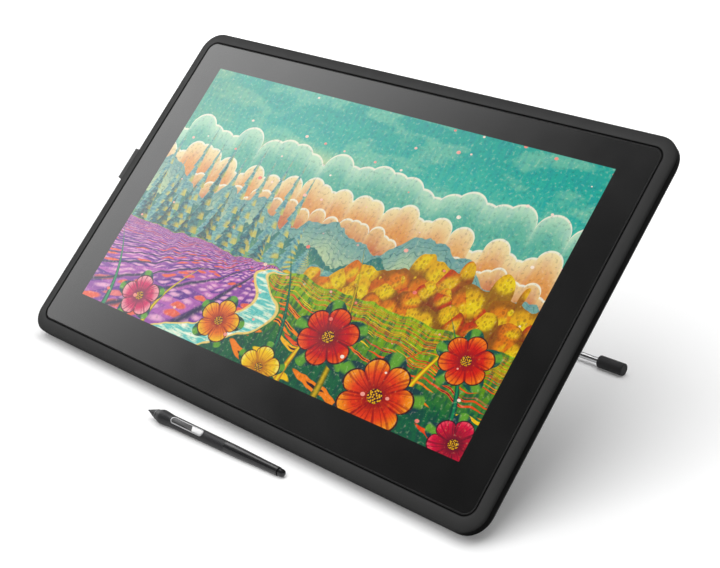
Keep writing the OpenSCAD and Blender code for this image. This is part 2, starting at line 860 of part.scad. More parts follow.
module foot_bars() {
    color([0.12, 0.12, 0.12]) in_screen() foot_bar(foot_r, foot_len);
}

// Flattened elastic loop, folded round a bar inside the casing
module loop_outline(half, bar_r) {
    bar_x = -body_w / 2 + loop_bar_in;
    nose_x = -body_w / 2 - loop_out + loop_t + loop_gap / 2;
    translate([bar_x, 0]) circle(bar_r);
    translate([nose_x, -half]) square([bar_x - nose_x, 2 * half]);
    translate([nose_x, 0]) circle(half);
}

module across_loop(len) {
    translate([0, loop_y + len / 2, -loop_z]) rotate([90, 0, 0]) linear_extrude(len) children();
}

module pen_loop() {
    color([0.1, 0.1, 0.1]) in_screen() across_loop(loop_w) difference() {
        loop_outline(loop_gap / 2 + loop_t, loop_bar_r + loop_t);
        loop_outline(loop_gap / 2, loop_bar_r + fit);
    }
}

module loop_bar() {
    color("silver") in_screen() across_loop(loop_w)
        translate([-body_w / 2 + loop_bar_in, 0]) circle(loop_bar_r);
}

// Power button

module switch_board() {
    color("green") in_screen()
        translate([button_x - switch_board_w / 2, switch_board_y, chassis_back])
        cube([switch_board_w, switch_board_t, button_z + tact_w / 2 - chassis_back]);
}

module tact_switch() {
    color("black") in_screen() translate([button_x, switch_board_y + switch_board_t, button_z])
        translate([-tact_w / 2, 0, -tact_d / 2]) cube([tact_w, tact_h, tact_d]);
}

module light_pipe() {
    color("white") in_screen() translate([button_x + pipe_dx, button_y, button_z]) rotate([90, 0, 0])
        cylinder(r = pipe_r, h = button_y - switch_board_y - switch_board_t);
}

module power_button() {
    stem_end = tact_top + button_travel + stop_gap;
    color([0.15, 0.15, 0.16]) in_screen() {
        translate([button_x - button_w / 2, button_y - wall, button_z - button_t / 2])
            cube([button_w, wall + button_out, button_t]);
        translate([button_x - stem_w / 2, stem_end, button_z - button_t / 2])
            cube([stem_w, button_y - wall - stem_end + eps, button_t]);
    }
}

// Stand

module cheek() {
    rotate([90, 0, 90]) linear_extrude(cheek_t) hull() {
        translate([-plate_h / 2 + plate_corner, -body_t - plate_t])
            square([plate_h - 2 * plate_corner, plate_t]);
        translate([pivot[1], pivot[2]]) circle(cheek_r, $fn = ear_fn);
        translate([lever_at[1], lever_at[2]]) circle(lever_knuckle_r + ear_rim, $fn = ear_fn);
    }
}

module along_x(at, r, len) {
    translate([-len / 2, at[1], at[2]]) rotate([0, 90, 0]) cylinder(r = r, h = len);
}

module stand_bracket() {
    color([0.16, 0.16, 0.17]) in_screen() difference() {
        union() {
            slab(-body_t, -body_t - plate_t) rounded_rect(plate_w, plate_h, plate_corner);
            translate([cheek_in, 0, 0]) cheek();
            translate([-cheek_in - cheek_t, 0, 0]) cheek();
        }
        along_x(pivot, shaft_r + fit, bracket_span + 2 * cut);
        along_x(lever_at, lever_pin_r + fit, bracket_span + 2 * cut);
        for (at = bracket_screw_at) translate([at[0], at[1], -body_t - plate_t - cut])
            cylinder(r = bracket_screw_r + slip, h = plate_t + 2 * cut);
    }
}

module bracket_screws() {
    color("silver") in_screen() for (at = bracket_screw_at) translate([at[0], at[1], -body_t - plate_t]) {
        translate([0, 0, -bracket_screw_head_t])
            cylinder(r = bracket_screw_head_r, h = bracket_screw_head_t);
        cylinder(r = bracket_screw_r, h = bracket_screw_len);
    }
}

module hinge_shaft() {
    color("silver") in_screen() {
        along_x(pivot, shaft_r, bracket_span + 2 * edge_gap);
        along_x(pivot, groove_r, bracket_span + 2 * (edge_gap + clip_t + shaft_end));
        for (s = [-1, 1]) translate([s * (bracket_span / 2 + edge_gap + clip_t + shaft_end / 2), 0, 0])
            along_x(pivot, shaft_r, shaft_end);
    }
}

module shaft_clips() {
    color("gray") in_screen()
        for (s = [-1, 1]) translate([s * (bracket_span / 2 + edge_gap + clip_t / 2), 0, 0])
            translate(pivot) rotate([0, 90, 0]) difference() {
                cylinder(r = clip_r, h = clip_t - 2 * fit, center = true);
                cylinder(r = groove_r + fit, h = clip_t + cut, center = true);
                translate([0, -groove_r * clip_mouth, -clip_t])
                    cube([clip_r + cut, 2 * groove_r * clip_mouth, 2 * clip_t]);
            }
}

module thrust_washers() {
    color("khaki") in_screen() for (s = [-1, 1])
        translate([s * (barrel_w / 2 + cheek_in) / 2, 0, 0]) difference() {
            along_x(pivot, barrel_r - washer_t, washer_t);
            along_x(pivot, shaft_r + fit, washer_t + cut);
        }
}

module lever_pin() {
    color("silver") in_screen() along_x(lever_at, lever_pin_r, bracket_span);
}

echo(clutch_spring_gap = coil_gap(clutch_coil_r, clutch_wire_r, clutch_turns, clutch_pitch));
echo(lever_spring_gap = coil_gap(lever_coil_r, lever_wire_r, lever_turns, lever_coil_pitch));

module lever_spring() {
    color("silver") in_screen() translate(lever_at)
        translate([-lever_turns * lever_coil_pitch / 2, 0, 0])
        coil(lever_coil_r, lever_wire_r, lever_turns, lever_coil_pitch);
}

module release_lever() {
    color([0.1, 0.1, 0.11]) in_screen() translate(lever_at) rotate([-lever_lean, 0, 0]) difference() {
        rotate([90, 0, 90]) linear_extrude(lever_w, center = true) {
            circle(lever_knuckle_r);
            translate([0, -lever_t / 2]) square([lever_len - lever_tip_r, lever_t]);
            translate([lever_len - lever_tip_r, 0]) circle(lever_tip_r);
        }
        along_x([0, 0, 0], lever_pin_r + fit, lever_w + 2 * cut);
        cube([lever_gap_w, 2 * lever_knuckle_r + 2 * cut, 2 * lever_knuckle_r + 2 * cut], center = true);
    }
}

// Arm outline from the side, from the barrel to the rod
function arm_top(y) = arm_root_t / 2 + (arm_tip_top - arm_root_t / 2) * y / arm_len;
function arm_low(y) = arm_root_t / 2 + (arm_tip_low - arm_root_t / 2) * y / arm_len;
function arm_half(y) = barrel_w / 2 + (arm_tip_w - barrel_w) / 2 * y / arm_len;

module arm_side(y0, y1, skin, low) {
    rotate([90, 0, 90]) linear_extrude(barrel_w, center = true) polygon([
        [y0, -low * arm_low(y0)], [y0, arm_top(y0) - skin],
        [y1, arm_top(y1) - skin], [y1, -low * arm_low(y1)]
    ]);
}

module arm_plan(y0, y1, inner, skin) {
    linear_extrude(4 * barrel_r, center = true) polygon([
        [inner, y0], [arm_half(y0) - skin, y0], [arm_half(y1) - skin, y1], [inner, y1]
    ]);
}

// Hollows in the underside that leave a middle rib, side walls and cross ribs
module arm_pockets() {
    start = barrel_r + arm_wall;
    step = (arm_len - rod_boss_r - arm_wall - start) / arm_pocket_rows;
    for (s = [0, 1], i = [0:arm_pocket_rows - 1]) mirror([s, 0, 0]) intersection() {
        arm_side(start + i * step, start + (i + 1) * step - arm_wall, arm_wall, 2);
        arm_plan(start + i * step, start + (i + 1) * step - arm_wall, arm_wall / 2, arm_wall);
    }
}

module stand_arm() {
    rod_at = [0, arm_len, 0];
    color([0.16, 0.16, 0.17]) in_arm() difference() {
        union() {
            for (s = [0, 1]) mirror([s, 0, 0]) intersection() {
                arm_side(0, arm_len, 0, 1);
                arm_plan(0, arm_len, -eps, 0);
            }
            along_x([0, 0, 0], barrel_r, barrel_w);
            along_x(rod_at, rod_boss_r, arm_tip_w);
        }
        arm_pockets();
        along_x([0, 0, 0], barrel_bore_r, barrel_w + 2 * cut);
        along_x(rod_at, rod_r + fit, arm_tip_w + 2 * cut);
        for (s = [-1, 1]) translate([s * rod_screw_x, arm_len - rod_screw_back, 0])
            cylinder(r = rod_screw_r + fit, h = arm_tip_top + cut);
    }
}

module arm_bushes() {
    color("peru") in_arm() for (s = [-1, 1]) translate([s * (barrel_w - bush_len) / 2, 0, 0]) difference() {
        along_x([0, 0, 0], barrel_bore_r, bush_len);
        along_x([0, 0, 0], shaft_r + fit, bush_len + 2 * cut);
    }
}

module clutch_springs() {
    color("dimgray") in_arm() for (s = [0, 1]) mirror([s, 0, 0]) translate([clutch_x, 0, 0])
        coil(clutch_coil_r, clutch_wire_r, clutch_turns, clutch_pitch);
}

module foot_rod() {
    color("silver") in_arm() along_x([0, arm_len, 0], rod_r, rod_span - 2 * sleeve_cap);
}

module sleeve(side) {
    color([0.08, 0.08, 0.08]) in_arm() translate([side * rod_span / 2, arm_len, 0])
        rotate([0, -side * 90, 0]) rotate_extrude() difference() {
            union() {
                translate([0, sleeve_round]) square([sleeve_r, sleeve_len - 2 * sleeve_round]);
                square([sleeve_r - sleeve_round, sleeve_len]);
                for (at = [sleeve_round, sleeve_len - sleeve_round]) intersection() {
                    translate([sleeve_r - sleeve_round, at]) circle(sleeve_round);
                    square([sleeve_r + cut, sleeve_len]);
                }
            }
            translate([-cut, sleeve_cap]) square([rod_r + fit + cut, sleeve_len]);
        }
}

module sleeve_left() {
    sleeve(-1);
}

module sleeve_right() {
    sleeve(1);
}

module rod_screws() {
    color("gray") in_arm() for (s = [-1, 1]) translate([s * rod_screw_x, arm_len - rod_screw_back, rod_r])
        cylinder(r = rod_screw_r, h = arm_tip_top - rod_r);
}

// Pen

module revolve(line, grow = 0) {
    rotate([0, 90, 0]) rotate_extrude() polygon(concat(
        [[0, line[0][0]]], [for (p = line) [max(p[1] + grow, 0), p[0]]], [[0, line[len(line) - 1][0]]]
    ));
}

module pen_rod(x0, x1, r) {
    translate([x0, 0, 0]) rotate([0, 90, 0]) cylinder(r = r, h = x1 - x0);
}

// Upright prism of the side switch's outline, grown all round
module switch_prism(grow, bottom) {
    r = rocker_w / 2 + grow;
    translate([0, 0, bottom]) linear_extrude(2 * flare_r) {
        translate([rocker_x[0] + rocker_w / 2, -r]) square([rocker_x[1] - rocker_x[0] - rocker_w, 2 * r]);
        for (x = [rocker_x[0] + rocker_w / 2, rocker_x[1] - rocker_w / 2]) translate([x, 0]) circle(r);
    }
}

module rocker_pin(r, len) {
    translate([rocker_mid, len / 2, rocker_pin_z]) rotate([90, 0, 0]) cylinder(r = r, h = len);
}

module pen_nose() {
    color([0.1, 0.1, 0.1]) in_pen() difference() {
        union() {
            revolve([[nose_x, nose_tip_r], [collar_x, nose_end_r]]);
            pen_rod(collar_x - eps, coil_x, core_r);
        }
        pen_rod(nose_x - cut, coil_x + cut, nib_r + fit);
    }
}

module pen_collar() {
    color("gray") in_pen() difference() {
        pen_rod(collar_x, grip_x, collar_r);
        pen_rod(collar_x - cut, grip_x + cut, core_r + fit);
    }
}

module pen_grip() {
    color([0.13, 0.13, 0.13]) in_pen() difference() {
        revolve(grip_line);
        pen_rod(grip_x - cut, grip_end + cut, grip_bore_r);
        switch_prism(slip, 0);
        difference() {
            switch_prism(trim_w, 0);
            revolve(grip_line, -trim_t);
        }
        rocker_pin(rocker_pin_r + fit, rocker_pin_w + 2 * slip);
    }
}

module switch_trim() {
    color("silver") in_pen() difference() {
        intersection() {
            switch_prism(trim_w, 0);
            revolve(grip_line, trim_proud);
        }
        revolve(grip_line, -trim_t);
        switch_prism(slip, 0);
        rocker_pin(rocker_pin_r + fit, rocker_pin_w + 2 * slip);
    }
}

module pen_rocker() {
    color([0.3, 0.3, 0.3]) in_pen() {
        difference() {
            intersection() {
                switch_prism(0, rocker_bottom);
                revolve(grip_line, rocker_proud);
            }
            for (s = [0, 1]) translate([rocker_valley, 0, grip_r - rocker_dip]) mirror([s, 0, 0])
                rotate([0, -rocker_slope, 0]) translate([0, -flare_r, 0])
                cube([pen_len, 2 * flare_r, flare_r]);
        }
        rocker_pin(rocker_knuckle_r, rocker_w);
        rocker_pin(rocker_pin_r, rocker_pin_w);
    }
}

module pen_barrel() {
    color([0.05, 0.05, 0.05]) in_pen() difference() {
        revolve(barrel_line);
        pen_rod(grip_end - cut, core_step + core_fit, grip_bore_r);
        pen_rod(grip_end, eraser_x + cut, core_rear_r + core_fit);
    }
}

module pen_core() {
    color("gainsboro") in_pen() difference() {
        union() {
            pen_rod(core_x, core_step, core_r);
            pen_rod(core_step - eps, core_end, core_rear_r);
        }
        translate([core_x + board_room, -flare_r, core_flat])
            cube([pen_board_size[0] + 2 * board_room, 2 * flare_r, flare_r]);
    }
}

module pen_board() {
    color("green") in_pen() translate([core_x + 2 * board_room, -pen_board_size[1] / 2, core_flat])
        cube(pen_board_size);
}

module pen_coil() {
    color("peru") in_pen() difference() {
        pen_rod(coil_x, coil_x + coil_len, coil_r);
        pen_rod(coil_x - cut, coil_x + coil_len + cut, coil_bore_r);
    }
}

module pen_sensor() {
    color("slategray") in_pen() pen_rod(sensor_x, sensor_x + sensor_len, coil_r);
}

module pen_nib() {
    color([0.2, 0.2, 0.2]) in_pen() revolve([
        [0, 0], nib_r * nib_point, [nib_r, nib_r], [nib_end, nib_r]
    ]);
}

module pen_eraser() {
    color([0.07, 0.07, 0.07]) in_pen() {
        revolve(eraser_line);
        pen_rod(eraser_x - eraser_plug, eraser_start + eps, core_rear_r - slip);
    }
}

front_bezel();
cover_glass();
border_film();
panel_gasket();
lcd_panel();
diffuser_sheet();
light_guide();
reflector_sheet();
led_strip();
panel_tray();
sensor_board();
shield_plate();
chassis();
panel_board();
panel_cable();
main_board();
hdmi_socket();
usb_socket();
power_socket();
board_screws();
rear_cover();
cover_screws();
foot_bars();
pen_loop();
loop_bar();
switch_board();
tact_switch();
light_pipe();
power_button();
stand_bracket();
bracket_screws();
hinge_shaft();
shaft_clips();
thrust_washers();
lever_pin();
lever_spring();
release_lever();
stand_arm();
arm_bushes();
clutch_springs();
foot_rod();
sleeve_left();
sleeve_right();
rod_screws();
pen_nose();
pen_collar();
pen_grip();
pen_barrel();
pen_core();
pen_board();
pen_coil();
pen_sensor();
switch_trim();
pen_nib();
pen_rocker();
pen_eraser();
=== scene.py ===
# %% [markdown]
# A pen display on its folding stand, with the pen lying in front of it.
# The solids come ready-made from the packed part, and this lesson dresses them: it gives each
# piece its finish, adds what is too fine for the solids, and sets up the studio.
# Everything is in metres, in the part's own frame: x to the right, y to the back, z up.

# %% Load the solids
import math

import bmesh
import bpy
from mathutils import Matrix, Vector


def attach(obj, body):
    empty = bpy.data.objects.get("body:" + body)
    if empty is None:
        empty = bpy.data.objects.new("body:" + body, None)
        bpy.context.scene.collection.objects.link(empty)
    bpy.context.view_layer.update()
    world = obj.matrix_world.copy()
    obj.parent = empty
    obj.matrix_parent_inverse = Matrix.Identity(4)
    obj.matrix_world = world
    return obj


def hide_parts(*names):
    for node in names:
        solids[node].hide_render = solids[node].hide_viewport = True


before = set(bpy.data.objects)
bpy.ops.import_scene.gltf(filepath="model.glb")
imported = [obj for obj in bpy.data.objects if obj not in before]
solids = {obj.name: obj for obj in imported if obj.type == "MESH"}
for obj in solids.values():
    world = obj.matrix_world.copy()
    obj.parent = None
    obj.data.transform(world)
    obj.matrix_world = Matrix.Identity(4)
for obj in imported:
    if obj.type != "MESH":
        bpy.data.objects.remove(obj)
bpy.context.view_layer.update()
scene = bpy.context.scene

# %% [markdown]
# The screen leans back by 45 degrees, so most of the object is easiest to describe in the
# screen's own frame: x across the glass, y up the glass, z out of it, with zero at the middle
# of the glass front. The arm and the pen have frames of their own too. A matrix for each turns
# millimetres in that frame into metres in the part's frame, so no piece is fitted by eye.

# %% The frames of the screen, the arm and the pen
MM = 0.001


def placed(origin, *turns):
    """Frame at a point in millimetres, after turns of (degrees, axis)."""
    matrix = Matrix.Scale(MM, 4) @ Matrix.Translation(origin)
    for angle, axis in turns:
        matrix = matrix @ Matrix.Rotation(math.radians(angle), 4, axis)
    return matrix


def toward(place, *axis):
    """Direction of a frame's own axis, as a unit vector in the part's frame."""
    return (place.to_3x3() @ Vector(axis)).normalized()


on_screen = placed((5.7, -23.394, 138.8654), (45, "X"))
on_arm = placed((5.7, 16.2039, 99.2674), (-29.7946, "X"))
on_pen = placed((-55.9934, -179.5458, 6.8541), (3.1, "Z"), (1.06794, "Y"), (34, "X"))
print("middle of the glass:", [round(v, 4) for v in on_screen.translation])

# %% [markdown]
# The camera stands to the right of the object and above it, as in a catalogue picture. A long
# lens keeps the edges of the screen nearly parallel. Its place was solved from the corners of the
# glass, so the lens and the aim are plain numbers here.

# %% Camera
camera_data = bpy.data.cameras.new("studio_camera")
camera_data.lens = 70.91
camera_data.sensor_width = 36
camera_data.sensor_fit = "HORIZONTAL"
camera = bpy.data.objects.new("studio_camera", camera_data)
camera.location = (0.84648, -0.86384, 0.59737)
aim = Vector((-0.62969, 0.66841, -0.3858))
camera.rotation_euler = aim.to_track_quat("-Z", "Y").to_euler()
scene.collection.objects.link(camera)
scene.camera = camera
print("camera", [round(v, 3) for v in camera.location])

# %% [markdown]
# A finish in Blender is a graph of nodes, where textures and sums flow into one shader. Drawn by
# hand it takes many steps for each finish, so this small board holds one material and has a short
# call for each kind of node that the object needs. Everything is measured in the object's own
# coordinates, so a finish stays on its piece when the piece moves. A shelf keeps each finish under
# its name.

# %% A material board: each finish is wired on one of these
COLOUR_A, COLOUR_B, COLOUR_OUT = 6, 7, 2
MOTTLE_LOW, MOTTLE_HIGH = 0.3, 0.7
FINISHES = {}


def put(tree, socket, value):
    """Link to a socket, or a plain value on it."""
    if isinstance(value, bpy.types.NodeSocket):
        tree.links.new(value, socket)
    else:
        socket.default_value = value


def add_node(tree, kind, sockets=None, **settings):
    """New node with its settings, and with values or links put on its sockets."""
    node = tree.nodes.new(kind)
    for name, value in settings.items():
        setattr(node, name, value)
    for name, value in (sockets or {}).items():
        put(tree, node.inputs[name], value)
    return node


class Board:
    """A material with short calls for wiring its nodes."""

    def __init__(self, name):
        self.material = bpy.data.materials.new(name)
        self.material.use_nodes = True
        self.tree = self.material.node_tree
        self.shader = self.tree.nodes["Principled BSDF"]
        self.place = self.add("ShaderNodeTexCoord").outputs["Object"]
        FINISHES[name] = self.material

    def add(self, kind, sockets=None, **settings):
        return add_node(self.tree, kind, sockets, **settings)

    def set(self, **sockets):
        """Values or links for the shader itself."""
        for name, value in sockets.items():
            put(self.tree, self.shader.inputs[name.replace("_", " ")], value)

    def calc(self, operation, *values):
        node = self.add("ShaderNodeMath", dict(enumerate(values)), operation=operation)
        return node.outputs[0]

    def ramp(self, value, low, high, to_low=0.0, to_high=1.0, kind="LINEAR"):
        """Number that goes from to_low to to_high while a value goes from low to high."""
        ends = dict(enumerate((value, low, high, to_low, to_high)))
        return self.add("ShaderNodeMapRange", ends, interpolation_type=kind).outputs[0]

    def step(self, run, low_mm, high_mm, to_high=1.0):
        """The same for a distance, between two points given in millimetres."""
        return self.ramp(run, low_mm * MM, high_mm * MM, 0.0, to_high)

    def worn(self, mottle, low, high):
        """Roughness that drifts between two values with a slow mottle."""
        return self.ramp(mottle, MOTTLE_LOW, MOTTLE_HIGH, low, high)

    def mix(self, share, a, b):
        colours = {0: share, COLOUR_A: a, COLOUR_B: b}
        return self.add("ShaderNodeMix", colours, data_type="RGBA").outputs[COLOUR_OUT]

    def greys(self, share, dark, pale):
        return self.mix(share, grey(dark), grey(pale))

    def along(self, axis, origin=(0, 0, 0)):
        """Distance of a point along an axis, in metres from an origin."""
        kind = "ShaderNodeVectorMath"
        shift = self.add(kind, {0: self.place, 1: origin}, operation="SUBTRACT")
        run = self.add(kind, {0: shift.outputs[0], 1: axis}, operation="DOT_PRODUCT")
        return run.outputs["Value"]

    def swing(self, run, pitch_mm):
        """Sine of a distance, with its crests a pitch apart."""
        return self.calc("SINE", self.calc("MULTIPLY", run, 2 * math.pi / (pitch_mm * MM)))

    def waves(self, run, pitch_mm):
        """The same, from 0 to 1."""
        return self.ramp(self.swing(run, pitch_mm), -1, 1)

    def noise(self, size_mm, detail=2.0, stretch=(1, 1, 1)):
        """Random shade from 0 to 1 in grains of about that size."""
        where = self.add("ShaderNodeMapping", {"Vector": self.place, "Scale": stretch})
        grains = {"Vector": where.outputs[0], "Scale": 1 / (size_mm * MM), "Detail": detail}
        return self.add("ShaderNodeTexNoise", grains).outputs["Fac"]

    def relief(self, height, depth_mm):
        """Bump as deep as given where the height is 1."""
        bump = {"Height": height, "Distance": depth_mm * MM, "Strength": 1.0}
        self.set(Normal=self.add("ShaderNodeBump", bump).outputs[0])


def grey(level):
    return (level, level, level, 1)


print("calls on a board:", [name for name in vars(Board) if not name.startswith("_")])

# %% [markdown]
# A photographer's sweep is a sheet that lies flat under the object and rises at the back with no
# corner, so no horizon shows. Here it is a wide dish: rings of points, level in the middle, with
# a rim that curls up far from the object. A dish looks the same from every side. Away from the
# object the paper glows a little, as if lamps of its own lit the background to pure white.

# %% Sweep
SWEEP = [(0, 0), (0.6, 0), (2.5, 0), (5, 0), (7, 0.05), (8.5, 0.35), (9.5, 1.0), (10, 2.2)]
SWEEP_SIDES = 96
GLOW_FROM, GLOW_TO = 0.3, 1.5


def as_piece(name, shape):
    """Object from a finished bmesh, with its faces turned outwards."""
    bmesh.ops.recalc_face_normals(shape, faces=shape.faces)
    mesh = bpy.data.meshes.new(name)
    shape.to_mesh(mesh)
    shape.free()
    return bpy.data.objects.new(name, mesh)


def lathe(name, profile, sides):
    """Dish turned about z from (radius, height) points."""
    shape = bmesh.new()
    rings = []
    for radius, height in profile:
        count = sides if radius > 0 else 1
        turns = [2 * math.pi * i / count for i in range(count)]
        spots = [(radius * math.cos(a), radius * math.sin(a), height) for a in turns]
        rings.append([shape.verts.new(spot) for spot in spots])
    for low, high in zip(rings, rings[1:]):
        for i in range(sides):
            ends = (i, (i + 1) % sides)
            corners = [low[k % len(low)] for k in ends]
            corners += [high[k % len(high)] for k in reversed(ends)]
            shape.faces.new(list(dict.fromkeys(corners)))
    return as_piece(name, shape)


sweep = lathe("sweep", SWEEP, SWEEP_SIDES)
sweep.data.shade_smooth()
scene.collection.objects.link(sweep)
paper = Board("studio_paper")
tooth = paper.greys(paper.noise(6, 3), 0.86, 0.90)
paper.set(Base_Color=tooth, Roughness=0.9, Specular_IOR_Level=0.1)
reach = [paper.calc("POWER", paper.along(axis), 2) for axis in ((1, 0, 0), (0, 1, 0))]
far = paper.ramp(paper.calc("SQRT", paper.calc("ADD", *reach)), GLOW_FROM, GLOW_TO)
paper.set(Emission_Color=paper.greys(far, 0.12, 0.5), Emission_Strength=1.0)
sweep.data.materials.append(paper.material)
print("sweep radius", SWEEP[-1][0], "m")

# %% [markdown]
# Three lights do the work. A wide softbox overhead, a little to the back, throws the pen's soft
# shadow towards the viewer and the casing's own shadow straight down, and a high one in front
# lights the floor up to the lower edge of the casing. A tall card on the left is there only to be
# mirrored: the glass shows it as a pale veil over its left half, and the pen and the rod show it
# as a bright stripe. The veil fades slowly across the glass, and the face of the card fades in
# the same way, from its right edge inwards. Keeping the softboxes out of reflections and the card
# out of the plain light leaves each one free to be set by itself. A weak card behind does the
# same for the back of the casing.

# %% Light
scene.view_settings.view_transform = "Standard"
studio = bpy.data.worlds.new("studio")
studio.use_nodes = True
studio.node_tree.nodes["Background"].inputs["Color"].default_value = grey(0.11)
scene.world = studio


def softbox(name, centre, facing, across, size, radiance, mirrored):
    """Area light of (width, height) at a point, facing back along a direction."""
    back = Vector(facing).normalized()
    side = (Vector(across) - back * back.dot(Vector(across))).normalized()
    data = bpy.data.lights.new(name, "AREA")
    data.shape = "RECTANGLE"
    data.size, data.size_y = size
    data.energy = radiance * math.pi * size[0] * size[1]
    lamp = bpy.data.objects.new(name, data)
    lamp.matrix_world = Matrix((side, back.cross(side), back)).transposed().to_4x4()
    lamp.location = centre
    lamp.visible_camera = False
    lamp.visible_glossy = mirrored
    lamp.visible_diffuse = not mirrored
    scene.collection.objects.link(lamp)
    return lamp


def fade(lamp, way, start, end):
    """Let a light grow from nothing at start to full at end, in metres along a direction."""
    lamp.data.use_nodes = True
    tree = lamp.data.node_tree
    spot = add_node(tree, "ShaderNodeNewGeometry").outputs["Position"]
    run = add_node(tree, "ShaderNodeVectorMath", {0: spot, 1: way}, operation="DOT_PRODUCT")
    ends = {"Value": run.outputs["Value"], "From Min": start, "From Max": end}
    rise = add_node(tree, "ShaderNodeMapRange", ends, interpolation_type="SMOOTHSTEP")
    tree.links.new(rise.outputs[0], tree.nodes["Emission"].inputs["Strength"])


CARD_WAY = Vector((-0.6487, -0.3646, 0.668))
CARD_FADE = Vector((-0.6199, 0.7620, -0.1860))
CARD_DOWN = CARD_WAY.cross(CARD_FADE)
CARD_FAR = 4.0
CARD_SIZE = (1.03 * CARD_FAR, 1.02 * CARD_FAR)
CARD_ASIDE, CARD_RAISED = 0.43, 0.09
FADE_FROM, FADE_TO = -0.07 * CARD_FAR, 0.20 * CARD_FAR
card_at = (CARD_WAY + CARD_FADE * CARD_ASIDE - CARD_DOWN * CARD_RAISED) * CARD_FAR
left_card = softbox("left_card", card_at, CARD_WAY, CARD_FADE, CARD_SIZE, 4.6, True)
fade(left_card, CARD_FADE, FADE_FROM, FADE_TO)
softbox("high_softbox", (-0.3, 1.0, 5.8), (-0.3, 1.0, 5.8), (1, 0, 0), (6, 6), 2.3, False)
softbox("front_softbox", (0, -3.4, 4.8), (0, -3.4, 4.8), (1, 0, 0), (5, 4), 3.3, False)
softbox("rear_card", (0.6, 4.0, 2.2), (0.14, 0.88, 0.45), (1, 0, 0), (4, 2), 1.2, True)

# %% [markdown]
# Most pieces are moulded plastic, painted metal or rubber, and a tool leaves its own grain on
# each: spark erosion on moulds, orange peel in paint, brush lines on steel. One recipe covers
# them: a grain at the true size drives the bump and a little of the colour, and a slow mottle
# drives the gloss, because hands and polish never leave a surface even. Steel differs only in
# being metallic, and brushed parts stretch the grain along one axis. Each line below gives the
# tone, the roughness, the grain and its depth in millimetres, and what differs from plain
# plastic.

# %% Finishes
MOTTLE_MM = 18


def finish(name, tone, rough, grain_mm, relief_mm, metal=0.0, vary=0.12, gloss=0.5,
           stretch=(1, 1, 1), rough_swing=0.06):
    """Grained finish: tone is (red, green, blue)."""
    board = Board(name)
    grain = board.noise(grain_mm, 2, stretch)
    mottle = board.noise(MOTTLE_MM, 3)
    dark, pale = (tuple(c * share for c in tone) + (1,) for share in (1 - vary, 1 + vary))
    board.set(Base_Color=board.mix(grain, dark, pale), Metallic=metal, Specular_IOR_Level=gloss)
    board.set(Roughness=board.worn(mottle, rough - rough_swing, rough + rough_swing))
    board.relief(grain, relief_mm)


RECIPES = {
    "black_plastic": ((0.012, 0.012, 0.013), 0.55, 0.5, 0.03, dict(gloss=0.35)),
    "stand_metal": ((0.028, 0.028, 0.030), 0.48, 0.6, 0.05, {}),
    "dark_steel": ((0.03, 0.03, 0.032), 0.42, 0.4, 0.01, dict(metal=0.6)),
    "bright_steel": ((0.58, 0.58, 0.59), 0.30, 0.4, 0.001,
                     dict(metal=1.0, vary=0.05, stretch=(0.05, 1, 1), rough_swing=0.04)),
    "spring_steel": ((0.38, 0.38, 0.40), 0.34, 0.5, 0.01, dict(metal=1.0, vary=0.15)),
    "sheet_steel": ((0.52, 0.53, 0.54), 0.4, 3.0, 0.01, dict(metal=1.0, vary=0.2)),
    "aluminium": ((0.62, 0.63, 0.64), 0.38, 0.8, 0.01,
                  dict(metal=1.0, vary=0.1, stretch=(0.1, 1, 1))),
    "rubber": ((0.026, 0.026, 0.027), 0.72, 0.7, 0.05, dict(gloss=0.3, vary=0.25)),
    "grip_rubber": ((0.007, 0.007, 0.008), 0.52, 0.35, 0.02, dict(gloss=0.4, vary=0.2)),
    "pen_gloss": ((0.009, 0.009, 0.010), 0.26, 2.5, 0.004, dict(gloss=0.45, rough_swing=0.03)),
    "pen_matte": ((0.006, 0.006, 0.007), 0.52, 0.4, 0.015, dict(gloss=0.2)),
    "pen_grey": ((0.10, 0.10, 0.105), 0.4, 0.4, 0.01, {}),
    "trim_silver": ((0.46, 0.46, 0.47), 0.36, 0.4, 0.005, dict(metal=0.3, vary=0.04)),
    "white_sheet": ((0.82, 0.82, 0.80), 0.6, 1.0, 0.01, dict(vary=0.04)),
    "clear_plastic": ((0.72, 0.77, 0.79), 0.15, 4.0, 0.004, dict(vary=0.05)),
    "white_resin": ((0.74, 0.73, 0.68), 0.5, 0.8, 0.02, dict(vary=0.05)),
    "nylon": ((0.66, 0.62, 0.48), 0.5, 0.6, 0.02, dict(vary=0.08)),
    "bronze": ((0.46, 0.29, 0.13), 0.45, 0.5, 0.02, dict(metal=1.0, vary=0.2)),
    "flat_cable": ((0.50, 0.30, 0.07), 0.4, 1.2, 0.02,
                   dict(vary=0.3, stretch=(1.6, 0.05, 0.05))),
}
for name, (*plain, rest) in RECIPES.items():
    finish(name, *plain, **rest)
print("plain finishes:", len(RECIPES))

# %% [markdown]
# The rim round the glass and the rear cover are both moulded, with a fine satin grain on the face
# that is seen. Their flanks turn away from the lamps, and there the colour is painted shade: near
# black in place of the grain, with less gloss. How far a point lies behind the glass tells face
# from flank. The rim is also a little crowned, and its face carries a painted shade that darkens
# it outwards; its inner lip gets a painted shade beside the narrow gap round the glass.

# %% Rim and rear cover
GLASS_W, GLASS_H, GLASS_R, GLASS_Y = 547.0, 333.6, 10.0, 0.5
RIM_W = 12.0
# Spans in millimetres for the painted shade: the lip by the gap, the rim's flank, the cover's side
LIP_SHADE = (1.0, 1.9)
RIM_SHADED_FLANK = (1.2, 3.6)
COVER_SHADED_SIDE = (9.8, 12.5)


def behind_glass(board):
    return board.along(toward(on_screen, 0, 0, -1), on_screen.translation)


